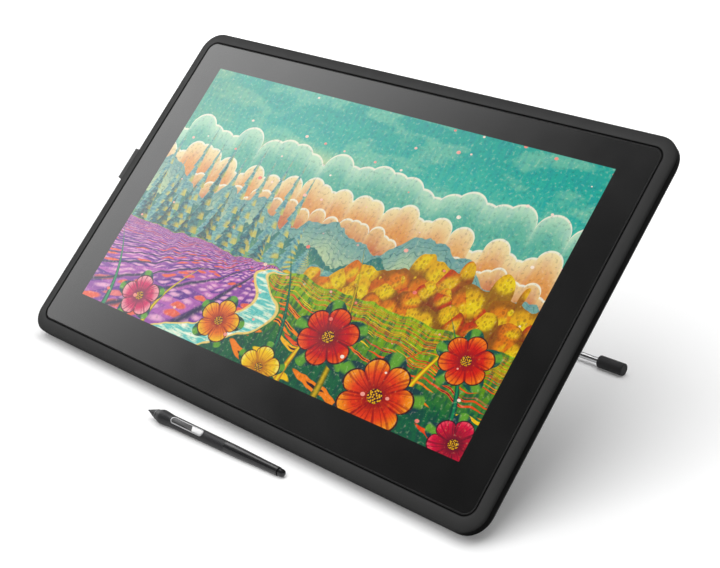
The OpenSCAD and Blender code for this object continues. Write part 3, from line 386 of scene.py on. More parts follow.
def outside_glass(board):
    """Distance out from the edge of the glass, following its round corners."""
    middle = on_screen @ Vector((0, GLASS_Y, 0))
    runs = []
    for axis, length in (((1, 0, 0), GLASS_W), ((0, 1, 0), GLASS_H)):
        run = board.calc("ABSOLUTE", board.along(toward(on_screen, *axis), middle))
        past = board.calc("SUBTRACT", run, (length / 2 - GLASS_R) * MM)
        runs.append(board.calc("MAXIMUM", past, 0))
    squares = [board.calc("POWER", run, 2) for run in runs]
    across = board.calc("SQRT", board.calc("ADD", *squares))
    return board.calc("SUBTRACT", across, GLASS_R * MM)


def rim_finish():
    board = Board("rim_plastic")
    # Mask of the flank, which gets painted shade below.
    shaded_flank = board.step(behind_glass(board), *RIM_SHADED_FLANK)
    out = outside_glass(board)
    grain = board.noise(0.6, 2)
    # Painted shade: the crowned face is painted darker outwards, from its inner edge to its outer.
    inner = board.greys(grain, 0.034, 0.041)
    outer = board.greys(grain, 0.019, 0.0235)
    shaded_face = board.mix(board.step(out, 0, RIM_W), inner, outer)
    # Painted shade: a near-black band on the lip beside the gap round the glass.
    shaded_face = board.mix(board.step(out, *LIP_SHADE), grey(0.002), shaded_face)
    # Painted shade: the flank, which turns from the lamps, is painted near black.
    board.set(Base_Color=board.mix(shaded_flank, shaded_face, grey(0.004)))
    board.set(Specular_IOR_Level=board.ramp(shaded_flank, 0, 1, 0.08, 0.01))
    board.set(Roughness=board.worn(board.noise(18, 3), 0.60, 0.70))
    board.relief(grain, 0.03)


def cover_finish():
    board = Board("cover_plastic")
    # Mask of the back: in front of it, the cover's side band gets painted shade.
    back = board.step(behind_glass(board), *COVER_SHADED_SIDE)
    grain = board.noise(0.6, 2)
    shade = board.greys(grain, 0.026, 0.038)
    # Painted shade: the side band, which turns from the lamps, is painted near black.
    board.set(Base_Color=board.mix(back, grey(0.003), shade))
    board.set(Specular_IOR_Level=board.ramp(back, 0, 1, 0.01, 0.3))
    board.set(Roughness=board.worn(board.noise(30, 3), 0.48, 0.58))
    board.relief(grain, 0.03)


rim_finish()
cover_finish()
print("rim and rear cover in two textures each")

# %% [markdown]
# A few inner pieces have a pattern that a maker would know: copper tracks on a green board, the
# cells of foam, and the turns of wire on the pen's coil. They hide behind the covers, but the
# part can be taken apart, so each gets its pattern too.

# %% Patterned finishes
WIRE_PITCH = 0.3
pen_axis = toward(on_pen, 1, 0, 0)


def circuit_board():
    board = Board("green_board")
    bricks = {"Vector": board.place, "Scale": 60, "Mortar Size": 0.03}
    pattern = dict(offset=0.37, squash=0.6, squash_frequency=3)
    tracks = board.add("ShaderNodeTexBrick", bricks, **pattern).outputs["Fac"]
    mask = board.mix(board.noise(9, 3), (0.012, 0.10, 0.045, 1), (0.02, 0.15, 0.06, 1))
    board.set(Base_Color=board.mix(tracks, mask, (0.05, 0.24, 0.09, 1)), Roughness=0.35)
    board.relief(tracks, 0.03)


def foam():
    board = Board("foam")
    bubbles = {"Vector": board.place, "Scale": 2500}
    cells = board.add("ShaderNodeTexVoronoi", bubbles).outputs["Distance"]
    board.set(Base_Color=board.greys(cells, 0.018, 0.045), Roughness=0.9)
    board.relief(cells, 0.2)


def wound_copper():
    board = Board("copper")
    turns = board.waves(board.along(pen_axis), WIRE_PITCH)
    shade = board.mix(turns, (0.28, 0.11, 0.05, 1), (0.75, 0.36, 0.18, 1))
    board.set(Base_Color=shade, Metallic=1, Roughness=0.3)
    board.relief(turns, 0.1)


circuit_board()
foam()
wound_copper()
print("patterned finishes: 3")

# %% [markdown]
# The rocker on the pen is dark and finely ribbed; on its rear half a pale satin colour is a
# painted highlight, which meets the dark front on a slanted line. Paint masked by position does
# it: the shader measures how far along the pen a point lies, leans that a little to one side, and
# switches colour at the line.

# %% Rocker with a painted highlight
LINE_AT, LINE_SOFT, LINE_LEAN = 59.0, 0.15, 0.5
RIB_PITCH = 1.1


def rocker_finish():
    board = Board("switch_grey")
    tip = on_pen.translation
    run = board.along(pen_axis, tip)
    aside = board.calc("MULTIPLY", board.along(toward(on_pen, 0, 1, 0), tip), LINE_LEAN)
    slant = board.calc("ADD", run, aside)
    # Mask of the rear half, which gets the painted highlight.
    rear = board.step(slant, LINE_AT - LINE_SOFT, LINE_AT + LINE_SOFT)
    ribs = board.waves(run, RIB_PITCH)
    front = board.greys(ribs, 0.012, 0.038)
    # Painted highlight: the pale colour laid over the rear half below.
    pale = board.greys(board.noise(0.4), 0.66, 0.74)
    board.set(Base_Color=board.mix(rear, front, pale))
    board.set(Roughness=board.ramp(rear, 0, 1, 0.42, 0.3))
    board.relief(board.ramp(rear, 0, 1, ribs, 0.5), 0.06)


rocker_finish()
print("rocker painted in two tones")

# %% [markdown]
# Under the glass lie a printed black border and the panel, whose face is nearly black when it is
# off. Both hide behind the glass here, but the part can be taken apart.

# %% Border print and panel
def border_print():
    board = Board("black_film")
    tint = board.greys(board.noise(0.8, 2), 0.0015, 0.003)
    board.set(Base_Color=tint, Roughness=0.6, Specular_IOR_Level=0.1)


def dark_panel():
    board = Board("panel_glass")
    lines = board.noise(0.25, 1, (1, 40, 40))
    board.set(Base_Color=board.mix(lines, (0.006, 0.007, 0.010, 1), (0.012, 0.013, 0.018, 1)))
    board.set(Roughness=board.worn(board.noise(25, 3), 0.10, 0.16))


border_print()
dark_panel()
print("border and panel wired")

# %% [markdown]
# A screen needs something on it, so this one shows a made-up landscape in the bright inks of a
# poster. It could be a picture file, but a shader that draws by formula has no pixels and needs
# no file. A small class lets the formulas be written as plain arithmetic: each sign adds one
# node.

# %% The picture's arithmetic
SOFT = 0.018


class Term:
    """A number inside the shader, with arithmetic."""

    def __init__(self, board, socket):
        self.board = board
        self.socket = socket

    def do(self, operation, *others):
        plain = [v.socket if isinstance(v, Term) else v for v in (self, *others)]
        return Term(self.board, self.board.calc(operation, *plain))

    def __rsub__(self, number):
        return Term(self.board, self.board.calc("SUBTRACT", number, self.socket))

    def smooth(self, low, high):
        """0 below low, 1 above high, eased between them; low may be above high."""
        swap = low > high
        a, b = (high, low) if swap else (low, high)
        ends = (1.0, 0.0) if swap else (0.0, 1.0)
        return Term(self.board, self.board.ramp(self.socket, a, b, *ends, kind="SMOOTHSTEP"))

    def over(self, edge=0.0, soft=SOFT):
        """1 where the number is over the edge."""
        return self.smooth(edge - soft, edge + soft)


SIGNS = {"add": "ADD", "sub": "SUBTRACT", "mul": "MULTIPLY", "truediv": "DIVIDE", "pow": "POWER"}
for sign, operation in SIGNS.items():
    setattr(Term, f"__{sign}__", lambda term, other, kind=operation: term.do(kind, other))


def ink(code):
    """Ink from a six-digit colour code, as linear light."""
    parts = [int(code[i:i + 2], 16) / 255 for i in (0, 2, 4)]
    linear = [p / 12.92 if p <= 0.04045 else ((p + 0.055) / 1.055) ** 2.4 for p in parts]
    return (*linear, 1)


print("the red of a poppy as light:", [round(v, 3) for v in ink("c71f32")])

# %% [markdown]
# The canvas is a board that works like a painter: the sky first, then each nearer layer over it.
# Each layer is a line (its top edge) and a few inks. The picture is 16 units wide and 9 high,
# and x and y run along it from the lower left corner, a unit past the ends. Soft noise, scattered
# dots and a random number for each cell of a row give the layers their life.

# %% The canvas
PICTURE_W, PICTURE_H = 16.0, 9.0
PICTURE_CORNER = (-240.5, -130.3, 0)
PITCH = 0.481 / PICTURE_W
PAST = 1


class Canvas(Board):
    """The picture: layers painted one over another."""

    def __init__(self, name):
        super().__init__(name)
        self.corner = on_screen @ Vector(PICTURE_CORNER)
        self.x = self.run(PICTURE_W, 0)
        self.y = self.run(PICTURE_H, 1)
        self.colour = "8fd6cc"

    def mapped(self, turn, shift, scale):
        """The object's own coordinates, read from a corner along turned and stretched axes."""
        sockets = {"Vector": self.place, "Location": self.corner - turn @ Vector(shift),
                   "Rotation": turn.to_euler(), "Scale": scale}
        return self.add("ShaderNodeMapping", sockets, vector_type="TEXTURE").outputs[0]

    def run(self, length, quarters):
        """Distance along the width, or after a quarter turn along the height."""
        turn = on_screen.to_3x3().normalized() @ Matrix.Rotation(quarters * math.pi / 2, 3, "Z")
        whole = length + 2 * PAST
        where = self.mapped(turn, (PAST * PITCH, 0, 0), [whole * PITCH] * 3)
        slope = self.add("ShaderNodeTexGradient", {"Vector": where})
        return Term(self, slope.outputs["Fac"]) * whole - PAST

    def field(self, a, b, c=0.0, d=0.0):
        """The point (a x + c, b y + d) of the picture."""
        step = (PITCH / a, PITCH / b, 1.0)
        return self.mapped(on_screen.to_3x3().normalized(), (c * step[0], d * step[1], 0), step)

    def blend(self, share, *paints):
        """Two paints mixed: each is the code of an ink or an earlier mix."""
        return self.mix(share.socket, *[ink(p) if isinstance(p, str) else p for p in paints])

    def paint(self, share, paint):
        self.colour = self.blend(share, self.colour, paint)

    def soft_noise(self, kind, where, detail):
        sockets = {**where, "Scale": 1.0, "Detail": detail}
        node = self.add("ShaderNodeTexNoise", sockets, noise_dimensions=kind)
        return Term(self, node.outputs["Fac"])

    def cloudy(self, a, b, detail=2.0):
        """Soft random shade, stretched by a and b."""
        return self.soft_noise("2D", {"Vector": self.field(a, b)}, detail)

    def wavering(self, run, detail=2.0):
        """Soft random shade along one number."""
        return self.soft_noise("1D", {"W": run.socket}, detail)

    def chance(self, run):
        """A fresh random shade for each whole number."""
        return ((run * 12.9898).do("SINE") * 43758.547).do("FRACT")

    def dots(self, where, scatter=1.0):
        """Scattered points: distance to the nearest one, and three random shades for it."""
        sockets = {"Vector": where, "Scale": 1.0, "Randomness": scatter}
        node = self.add("ShaderNodeTexVoronoi", sockets, voronoi_dimensions="2D")
        shades = self.add("ShaderNodeSeparateColor", {0: node.outputs["Color"]})
        return Term(self, node.outputs["Distance"]), [Term(self, s) for s in shades.outputs[:3]]

    def sown(self, u, v, seed=0.0):
        """One point in each square of a grid: distance to it, and three random shades for it."""
        left, low = u.do("FLOOR"), v.do("FLOOR")
        key = left * 7.31 + low * 17.77 + seed
        luck = [self.chance(key + 3.7 * k) for k in range(5)]
        du = u - left - 0.25 - luck[3] * 0.5
        dv = v - low - 0.25 - luck[4] * 0.5
        return (du * du + dv * dv).do("SQRT"), luck[:3]


canvas = Canvas("etched_glass")
print("picture", PICTURE_W, "by", PICTURE_H, "units")

# %% [markdown]
# The far layers: a sky that pales towards a warm glow, banks of cloud with scalloped tops, and
# two ridges. A scallop is half a circle in each cell of a row; two rows set half a cell apart
# read as a heap of cloud.

# %% Sky, clouds and ridges
x, y = canvas.x, canvas.y
blend, paint, cloudy, wavering = canvas.blend, canvas.paint, canvas.cloudy, canvas.wavering
wash = cloudy(0.55, 1.4, 4)
paint((y + wash * 1.2).smooth(5.2, 9.6), blend(wash, "49bdb6", "37a6ae"))
paint(((wash - 0.5).over(0.06, 0.1)) * 0.45, "b7e3cf")
paint(x.smooth(4.5, -1.5) * wash, "7fae98")
glow = (((x - 5.6) / 5.0) ** 2 + ((y - 5.4) / 2.0) ** 2).smooth(1.1, 0.0)
paint(glow * 0.95, "fff1c4")


def cloud_bank(base, lift, size, seed, crown, foot, depth):
    tops = []
    for half in (0.0, 0.5):
        cell = x / size + (seed + half)
        left = cell.do("FLOOR")
        off = (cell - left - 0.5) * 2
        bulge = (1 - off * off).do("MAXIMUM", 0).do("SQRT") * (size * 0.5)
        tops.append(bulge + canvas.chance(left + 40 * (seed + half)) * lift)
    top = tops[0].do("MAXIMUM", tops[1]) + base
    under = top - y
    body = blend((under + wash * 0.3).smooth(0.0, depth), crown, foot)
    rim = blend(under.smooth(0.10, 0.03), body, "fffaf0")
    paint(under.over(), rim)


cloud_bank(5.9, 0.9, 1.15, 4.3, "d8efe0", "83c3ba", 1.1)
cloud_bank(5.1, 0.8, 0.85, 9.7, "fff2d4", "f0b793", 1.2)
cloud_bank(4.5, 0.6, 0.60, 2.2, "fbe0bd", "dd9a86", 1.0)


def ridge(base, rise, pace, seed, crest, foot, lines):
    top = wavering(x * pace + 7 * seed, 4) * rise + base
    under = top - y
    stone = blend(under.smooth(0.0, 1.3), crest, foot)
    bed = ((under + cloudy(1.6, 1.6, 2) * 0.9) * lines).do("FRACT")
    stone = blend(bed.smooth(0.80, 0.95) * 0.5, stone, "3f6f7c")
    paint(under.over(), stone)


ridge(3.4, 3.0, 0.33, 5.5, "8fb4b8", "cfdcc2", 4)
ridge(2.9, 2.4, 0.45, 8.1, "4f8a8f", "9cc29b", 6)
print("far layers done")

# %% [markdown]
# The woods: rows of firs on the left, cut like saw teeth, and a rounded autumn wood on the right
# whose crowns are scattered dots. Each crown is paler on the side of the glow.

# %% Woods
def firs(base, tall, size, seed, dark, lit, reach):
    cell = x / size + seed
    left = cell.do("FLOOR")
    side = (cell - left - 0.5) * 2
    luck = canvas.chance(left + 31 * seed)
    height = (luck * 0.7 + 0.55) * tall * x.smooth(reach, reach - 3.0)
    climb = (y - base - luck * 0.25) / (height + 0.02)
    bough = 1 - (climb * 6 + luck).do("FRACT")
    width = (1 - climb) * (bough * 0.45 + 0.5)
    inside = (width - side.do("ABSOLUTE")).over(0, 0.05)
    needles = blend(cloudy(6, 14).smooth(0.3, 0.7), dark, lit)
    sunny = (side - 0.1).over(0, 0.3) * bough.over(0.55, 0.15) * 0.7
    needles = blend(sunny, needles, "ecd67a")
    paint(inside * (base + 9 - y).over() * (y - base + 1.2).over(), needles)


firs(3.5, 2.6, 0.62, 3.0, "6f9fb0", "9fc6c4", 8.6)
firs(2.9, 2.9, 0.80, 7.0, "2f6079", "5a93a0", 7.2)
firs(2.2, 2.4, 1.00, 5.0, "243f5e", "3c7480", 5.6)


def autumn_wood(base, rise, scale, seed, deep):
    far, luck = canvas.dots(canvas.field(scale, scale, seed), 0.85)
    lit_far, _ = canvas.dots(canvas.field(scale, scale, seed + 0.22, -0.22), 0.85)
    top = x.smooth(7.0, 12.5) * rise + wavering(x * 0.8 + seed) * 1.6 + base
    crown = (top - y + (0.45 - far) * 0.9).over(0, 0.02)
    leaf = blend(luck[0].over(0.5, 0.2), "f3c238", "ee8a2b")
    leaf = blend(luck[1].over(0.72, 0.05), leaf, "d8452c")
    leaf = blend((lit_far - far).smooth(-0.05, 0.3) * 0.75, leaf, "fbe88c")
    speck, tint = canvas.dots(canvas.field(scale * 6.5, scale * 5, seed))
    leaf = blend(speck.smooth(0.42, 0.30) * tint[0] * 0.5, leaf, deep)
    leaf = blend(far.smooth(0.38, 0.66) * 0.8, leaf, deep)
    paint(crown * x.smooth(5.5, 7.5), leaf)


autumn_wood(2.1, 2.0, 1.3, 0.0, "9c5a2a")
autumn_wood(1.5, 1.7, 1.7, 11.3, "8a3d28")
print("woods done")

# %% [markdown]
# The ground runs towards the reader, so everything on it grows with its distance below the far
# edge. Dividing x by that distance and taking the logarithm of it turns an even field of dots
# into one in perspective. A stream parts the lavender on the left from the meadow on the right.

# %% Meadow, stream and lavender
FAR_EDGE = 3.15
down = (FAR_EDGE - y + wavering(x * 0.7 + 2.0) * 0.5 - 0.25).do("MAXIMUM", 0.02)
blade = cloudy(6.5, 2.1, 3)
ground = blend(down.smooth(0.0, 2.6), "a9c95c", "2f7a58")
ground = blend(blade.smooth(0.42, 0.66) * 0.7, ground, "1f5a55")
paint(down.over(0.03), ground)

bend = (down + 0.25).do("LOGARITHM", math.e) * 3.1
middle = bend.do("SINE") * (down * 0.35 + 0.35) + 7.3 - down * 0.55
bank = down * 0.30 + 0.10
off_bank = (x - middle).do("ABSOLUTE") - bank

lane = (x - 6.9) / (down + 0.12)
row = (lane * 1.15).do("FRACT")
tuft, tuft_luck = canvas.sown(lane * 3.2, (down + 0.1).do("LOGARITHM", math.e) * 7.5)
bloom = blend(tuft_luck[0], "7a55a0", "c98cc6")
bloom = blend(tuft.smooth(0.45, 0.10), bloom, "f0c6de")
bloom = blend(tuft_luck[1].over(0.8, 0.04) * tuft.smooth(0.5, 0.3), bloom, "f29a8e")
furrow = blend(row.smooth(0.0, 0.14) * row.smooth(1.0, 0.86), "3b3560", bloom)
paint((middle - x - bank).over(0.0) * down.over(0.05), furrow)

ripple = cloudy(1.6, 9, 3)
water = blend(ripple.smooth(0.4, 0.62), "8fd2cc", "e6f6e4")
water = blend(ripple.smooth(0.62, 0.72), water, "fffdf0")
paint((0 - off_bank).over(0.0) * down.over(0.06), water)
paint((off_bank.do("ABSOLUTE")).smooth(0.09, 0.03) * down.over(0.06), "f4dfa6")
print("ground done")

# %% [markdown]
# Poppies fill the meadow: one in each square of a grid that follows the perspective of the
# ground, with its ink drawn by lot and a dark heart.

# %% Poppies
field_y = (down + 0.05).do("LOGARITHM", math.e) * 3.4
poppy, luck = canvas.sown(x / (down + 0.22) * 1.9, field_y, 5.0)
petal = blend(luck[0].over(0.45, 0.1), "c71f32", "ee5340")
petal = blend(luck[1].over(0.62, 0.04), petal, "f58f3a")
petal = blend(luck[2].over(0.74, 0.04), petal, "f8d64c")
petal = blend(poppy.smooth(0.36, 0.22) * 0.35, petal, "ffd9c0")
petal = blend(poppy.smooth(0.13, 0.09), petal, "3a1a2c")
in_field = (x - middle - bank).over(0.12) * down.over(0.1)
paint(poppy.smooth(0.34, 0.30) * in_field * (luck[0] + luck[1]).over(0.5, 0.02), petal)
print("poppies sown")

# %% [markdown]
# Long blades of grass rise from the lower edge. Each is a line that bends more the higher it
# climbs and thins towards its tip, so one formula with a few values draws them all.

# %% Blades of grass
def sprig(root_x, sway, tip_y, width, colour, edge):
    """Long curved blade of grass from the lower edge."""
    climb = (y / tip_y).do("MAXIMUM", 0)
    spine = climb * climb * sway + root_x
    thick = (1 - climb).do("MAXIMUM", 0) * width
    off = (x - spine).do("ABSOLUTE")
    leaf = blend((off / (thick + 0.001)).smooth(0.1, 0.8), colour, edge)
    paint((thick - off).over(0.01, 0.015), leaf)


SPRIGS = [
    (8.6, -1.9, 4.3, 0.13, "2f8a6a", "1a4f4c"), (9.2, 1.4, 3.6, 0.12, "f4d84e", "c98a22"),
    (10.7, -1.2, 4.9, 0.14, "d7ba3a", "7a7a2c"), (13.3, 1.9, 4.4, 0.15, "f6e05c", "d08b28"),
    (15.3, -2.2, 4.0, 0.14, "3f9a70", "1d5450"), (12.0, 2.4, 3.2, 0.11, "f07a3a", "a82c30"),
    (3.1, 1.6, 2.7, 0.11, "e9d25a", "9a8a34"), (1.1, -1.4, 3.0, 0.12, "4aa57c", "205c58"),
]
for one in SPRIGS:
    sprig(*one)
print("blades:", len(SPRIGS))

# %% [markdown]
# A few big blooms stand close to the reader. A bloom is drawn in polar form: the angle makes the
# petals, the distance shades them from heart to rim, and a fan of fine veins runs outwards.

# %% Big blooms
def bloom_at(cx, cy, size, petals, turn, heart, mid, rim, leaf):
    dx = (x - cx) / size
    dy = (y - cy) / (size * 0.86)
    far = (dx * dx + dy * dy).do("SQRT")
    angle = dy.do("ARCTAN2", dx)
    wave = (angle * (petals / 2) + turn).do("SINE").do("ABSOLUTE")
    spread = (angle * 2.5 + turn).do("SINE").do("ABSOLUTE")
    frond = blend(spread.smooth(0.88, 0.99), leaf, "86b46a")
    paint((spread * 0.75 + 0.55 - far).over(0, SOFT / size), frond)
    edge = wave ** 0.55 * 0.30 + 0.70
    vein = wavering(angle * 7 + far * 1.5)
    shade = blend(far.smooth(0.12, 0.62), heart, mid)
    shade = blend(far.smooth(0.55, 1.0), shade, rim)
    shade = blend(vein.smooth(0.50, 0.62) * 0.55, shade, heart)
    shade = blend(wave.smooth(0.30, 0.05) * far.smooth(0.2, 0.5) * 0.8, shade, heart)
    fine = 16 / size
    seeds, _ = canvas.dots(canvas.field(fine, fine, -cx * fine, -cy * fine), 0.8)
    core = blend(seeds.smooth(0.45, 0.25), "5a2436", "f5c64a")
    shade = blend(far.smooth(0.22, 0.19), shade, core)
    paint((edge + 0.05 - far).over(0, SOFT / size), "4a1228")
    paint((edge - far).over(0, SOFT / size), shade)


BLOOMS = [
    (14.7, 2.55, 0.85, 6, 0.4, "a3122c", "e2453c", "f9a97c", "2c6a5c"),
    (6.0, 0.95, 0.80, 5, 1.1, "b23a1c", "f08a36", "fbd884", "27645c"),
    (10.1, 1.75, 1.05, 6, 0.2, "8e1030", "d42c3a", "f58a6c", "245a58"),
    (12.6, 0.70, 1.25, 7, 0.9, "a51f26", "ec5638", "fbc08a", "1f5458"),
    (2.4, 0.70, 0.80, 5, 0.3, "8c2a5c", "dd6a8e", "fac6cc", "2d5f6c"),
    (8.35, 0.15, 0.75, 5, 0.7, "c27a14", "f6c83c", "fdf0a4", "2a6a56"),
    (15.6, 0.35, 0.80, 6, 0.5, "7c1438", "c93050", "f4909a", "23525a"),
]
for one in BLOOMS:
    bloom_at(*one)
print("blooms:", len(BLOOMS))

# %% [markdown]
# Last come a few drifting petals and the paper's own grain, and then the painting becomes light.
# On the real screen the panel is bonded to the back of the glass, so the picture seems to lie in
# the surface itself, and outside it the glass shows only its black print. The glass is therefore
# one black, etched face that gives off the picture inside the border. Clear glass over a lit
# panel would look the same, at the price of a grainy render. Along its edge the glass is ground,
# and that rough bevel mirrors nothing, which draws a dark line round the face.

# %% Drifting petals, grain and the lit glass
drift, luck = canvas.dots(canvas.field(0.9, 1.2))
size = luck[0] * 0.05 + 0.025
flake = (size - drift).over(0, 0.01) * luck[1].over(0.55, 0.02)
paint(flake, blend(luck[2], "fff6ea", "f6a8a0"))
grain = cloudy(9, 9, 3)
paint(grain.smooth(0.55, 0.8) * 0.25, "fff4dc")
paint(grain.smooth(0.45, 0.25) * 0.22, "2c3a4c")
SHARP = 0.006
GROUND_EDGE = (-1.4, -0.9)
inside = x.over(0, SHARP) * y.over(0, SHARP)
inside = inside * (PICTURE_W - x).over(0, SHARP) * (PICTURE_H - y).over(0, SHARP)
deep = canvas.add("ShaderNodeGamma", {"Color": canvas.colour, "Gamma": 1.3})
vivid = canvas.add("ShaderNodeHueSaturation", {"Color": deep.outputs[0], "Saturation": 1.2})
lit = blend(inside, (0, 0, 0, 1), vivid.outputs[0])
wiped = canvas.noise(40, 3)
canvas.set(Base_Color=canvas.greys(wiped, 0.0018, 0.0026))
bevel = canvas.step(outside_glass(canvas), *GROUND_EDGE, 0.9)
etch = canvas.calc("MAXIMUM", canvas.worn(wiped, 0.20, 0.24), bevel)
canvas.set(Roughness=etch, Emission_Color=lit, Emission_Strength=0.9)
canvas.material.cycles.emission_sampling = "NONE"
print("picture nodes:", len(canvas.tree.nodes))

# %% [markdown]
# The loop at the left edge is a woven elastic band that holds the pen. It is a strip of fine
# cords, so its finish has cords along the band and thinner threads across them.

# %% Woven finish
CORD_PITCH, THREAD_PITCH = 1.2, 0.7


def woven_elastic():
    board = Board("woven_elastic")
    cords = board.swing(board.along(toward(on_screen, 0, 1, 0)), CORD_PITCH)
    threads = board.swing(board.along(toward(on_screen, 1, 0, 1)), THREAD_PITCH)
    weave = board.ramp(board.calc("MULTIPLY", cords, threads), -1, 1)
    shade = board.greys(weave, 0.008, 0.03)
    board.set(Base_Color=shade, Roughness=0.85, Sheen_Weight=0.25)
    board.relief(weave, 0.12)


woven_elastic()
print("finishes in all:", len(FINISHES))

# %% [markdown]
# Each solid's own material slot in the record says what it is made of. Most finishes above carry
# the same names, and others stand in where a piece looks different from the rest of its kind: the
# rear cover, the ring round the pen's switch and the pen's nib. One loop dresses all the solids.

# %% Dress the solids
MADE_OF = {
    "rim_plastic": "front_bezel",
    "etched_glass": "cover_glass",
    "black_film": "border_film",
    "foam": "panel_gasket",
    "panel_glass": "lcd_panel",
    "white_sheet": "diffuser_sheet reflector_sheet",
    "clear_plastic": "light_guide light_pipe",
    "white_resin": "led_strip pen_core",
    "sheet_steel": "panel_tray shield_plate",
    "aluminium": "chassis",
    "green_board": "sensor_board panel_board main_board switch_board pen_board",
    "flat_cable": "panel_cable",
    "bright_steel": "hdmi_socket usb_socket board_screws hinge_shaft lever_pin foot_rod "
                    "bracket_screws",
    "trim_silver": "switch_trim",
    "dark_steel": "cover_screws rod_screws",
    "spring_steel": "loop_bar shaft_clips lever_spring clutch_springs",
    "stand_metal": "stand_bracket stand_arm",
    "black_plastic": "power_socket tact_switch power_button release_lever",
    "cover_plastic": "rear_cover",
    "rubber": "foot_bars sleeve_left sleeve_right",
    "woven_elastic": "pen_loop",
    "nylon": "thrust_washers",
    "bronze": "arm_bushes",
    "copper": "pen_coil",
    "grip_rubber": "pen_grip",
    "pen_gloss": "pen_barrel pen_eraser",
    "pen_matte": "pen_nose pen_nib",
    "pen_grey": "pen_collar pen_sensor",
    "switch_grey": "pen_rocker",
}
for slot_name, members in MADE_OF.items():
    for node in members.split():
        solids[node].data.materials.clear()
        solids[node].data.materials.append(FINISHES[slot_name])
undressed = sorted(set(solids) - set(" ".join(MADE_OF.values()).split()))
print("dressed:", len(solids) - len(undressed), "undressed:", undressed)

# %% [markdown]
# Solids come out of a modeller with knife edges and flat facets, and real edges catch the light
# on a small round. Modifiers see to it without touching the solids' own meshes: one joins the
# triangles, one rounds the sharp edges, one shades everything smooth except at true corners, and
# the last lets the large flat faces win over the narrow rounds beside them, so that flat faces
# stay flat to the light.

# %% Rounded edges and smooth shading
def smooth_group(degrees):
    """Modifier tree that shades smooth up to an angle between faces."""
    tree = bpy.data.node_groups.new(f"smooth_to_{degrees}", "GeometryNodeTree")
    tree.interface.new_socket("Geometry", in_out="INPUT", socket_type="NodeSocketGeometry")
    tree.interface.new_socket("Geometry", in_out="OUTPUT", socket_type="NodeSocketGeometry")
    start, end = tree.nodes.new("NodeGroupInput"), tree.nodes.new("NodeGroupOutput")
    bare = add_node(tree, "GeometryNodeRemoveAttribute", {"Name": "custom_normal"})
    angle = add_node(tree, "GeometryNodeInputMeshEdgeAngle").outputs["Unsigned Angle"]
    below = {"A": angle, "B": math.radians(degrees)}
    limit = add_node(tree, "FunctionNodeCompare", below, operation="LESS_EQUAL").outputs[0]
    faces = add_node(tree, "GeometryNodeSetShadeSmooth")
    edges = add_node(tree, "GeometryNodeSetShadeSmooth", {"Shade Smooth": limit}, domain="EDGE")
    chain = (start, bare, faces, edges, end)
    for node, after in zip(chain, chain[1:]):
        tree.links.new(node.outputs[0], after.inputs[0])
    return tree


CREASE, CORNER = 28, 35
WELD_GAP = 2e-6
SMOOTH = smooth_group(CREASE)
ROUNDED = {
    "stand_arm": 0.9, "stand_bracket": 0.7, "release_lever": 0.6, "power_button": 0.35,
    "foot_bars": 0.8, "shaft_clips": 0.15, "hinge_shaft": 0.4, "lever_pin": 0.3, "foot_rod": 0.3,
    "pen_collar": 0.08, "switch_trim": 0.12, "pen_rocker": 0.18,
    "hdmi_socket": 0.1, "usb_socket": 0.1,
}
for name, solid in solids.items():
    joined = solid.modifiers.new("joined", "WELD")
    joined.merge_threshold = WELD_GAP
    if name in ROUNDED:
        eased = solid.modifiers.new("eased", "BEVEL")
        eased.width = ROUNDED[name] * MM
        eased.segments = 2
        eased.limit_method = "ANGLE"
        eased.angle_limit = math.radians(CORNER)
        eased.use_clamp_overlap = True
    shaded = solid.modifiers.new("shaded", "NODES")
    shaded.node_group = SMOOTH
    solid.modifiers.new("levelled", "WEIGHTED_NORMAL").keep_sharp = True
print("edges rounded on", len(ROUNDED), "solids")

# %% [markdown]
# The pen loop itself: a flat band folded round a bar inside the casing. A strip is swept along
# the folded line, and each cord of the weave is a small ridge across the strip, so the band has
# real ribs and thicker edges, not only a painted weave.

# %% Woven pen loop
BAND_W, BAND_T = 35.0, 1.2
BAND_Y, BAND_Z = 14.3, -8.0
NOSE_X, BAR_X = -293.5, -276.75
NOSE_R, BAR_R = 2.3, 3.2
CORDS, CORD_STEPS = 25, 4
CORD_RISE = 0.13
SELVEDGE = 0.055
NOSE_STEP, FLAT_STEPS, BAR_STEPS = 12, 12, 30


def fold_line():
    """Middle of the band in (x, z), with the way outwards at each point."""
    reach = math.sqrt(BAR_R ** 2 - NOSE_R ** 2)
    open_angle = math.degrees(math.acos(-reach / BAR_R))
    points = []
    for a in range(90, 271, NOSE_STEP):
        c, s = math.cos(math.radians(a)), math.sin(math.radians(a))
        points.append(((NOSE_X + NOSE_R * c, NOSE_R * s), (c, s)))
    flat = [NOSE_X + (BAR_X - reach - NOSE_X) * t / FLAT_STEPS for t in range(1, FLAT_STEPS)]
    points += [((x_flat, -NOSE_R), (0, -1)) for x_flat in flat]
    for i in range(BAR_STEPS + 1):
        a = math.radians(-open_angle + 2 * open_angle * i / BAR_STEPS)
        c, s = math.cos(a), math.sin(a)
        points.append(((BAR_X + BAR_R * c, BAR_R * s), (c, s)))
    points += [((x_flat, NOSE_R), (0, 1)) for x_flat in reversed(flat)]
    return points


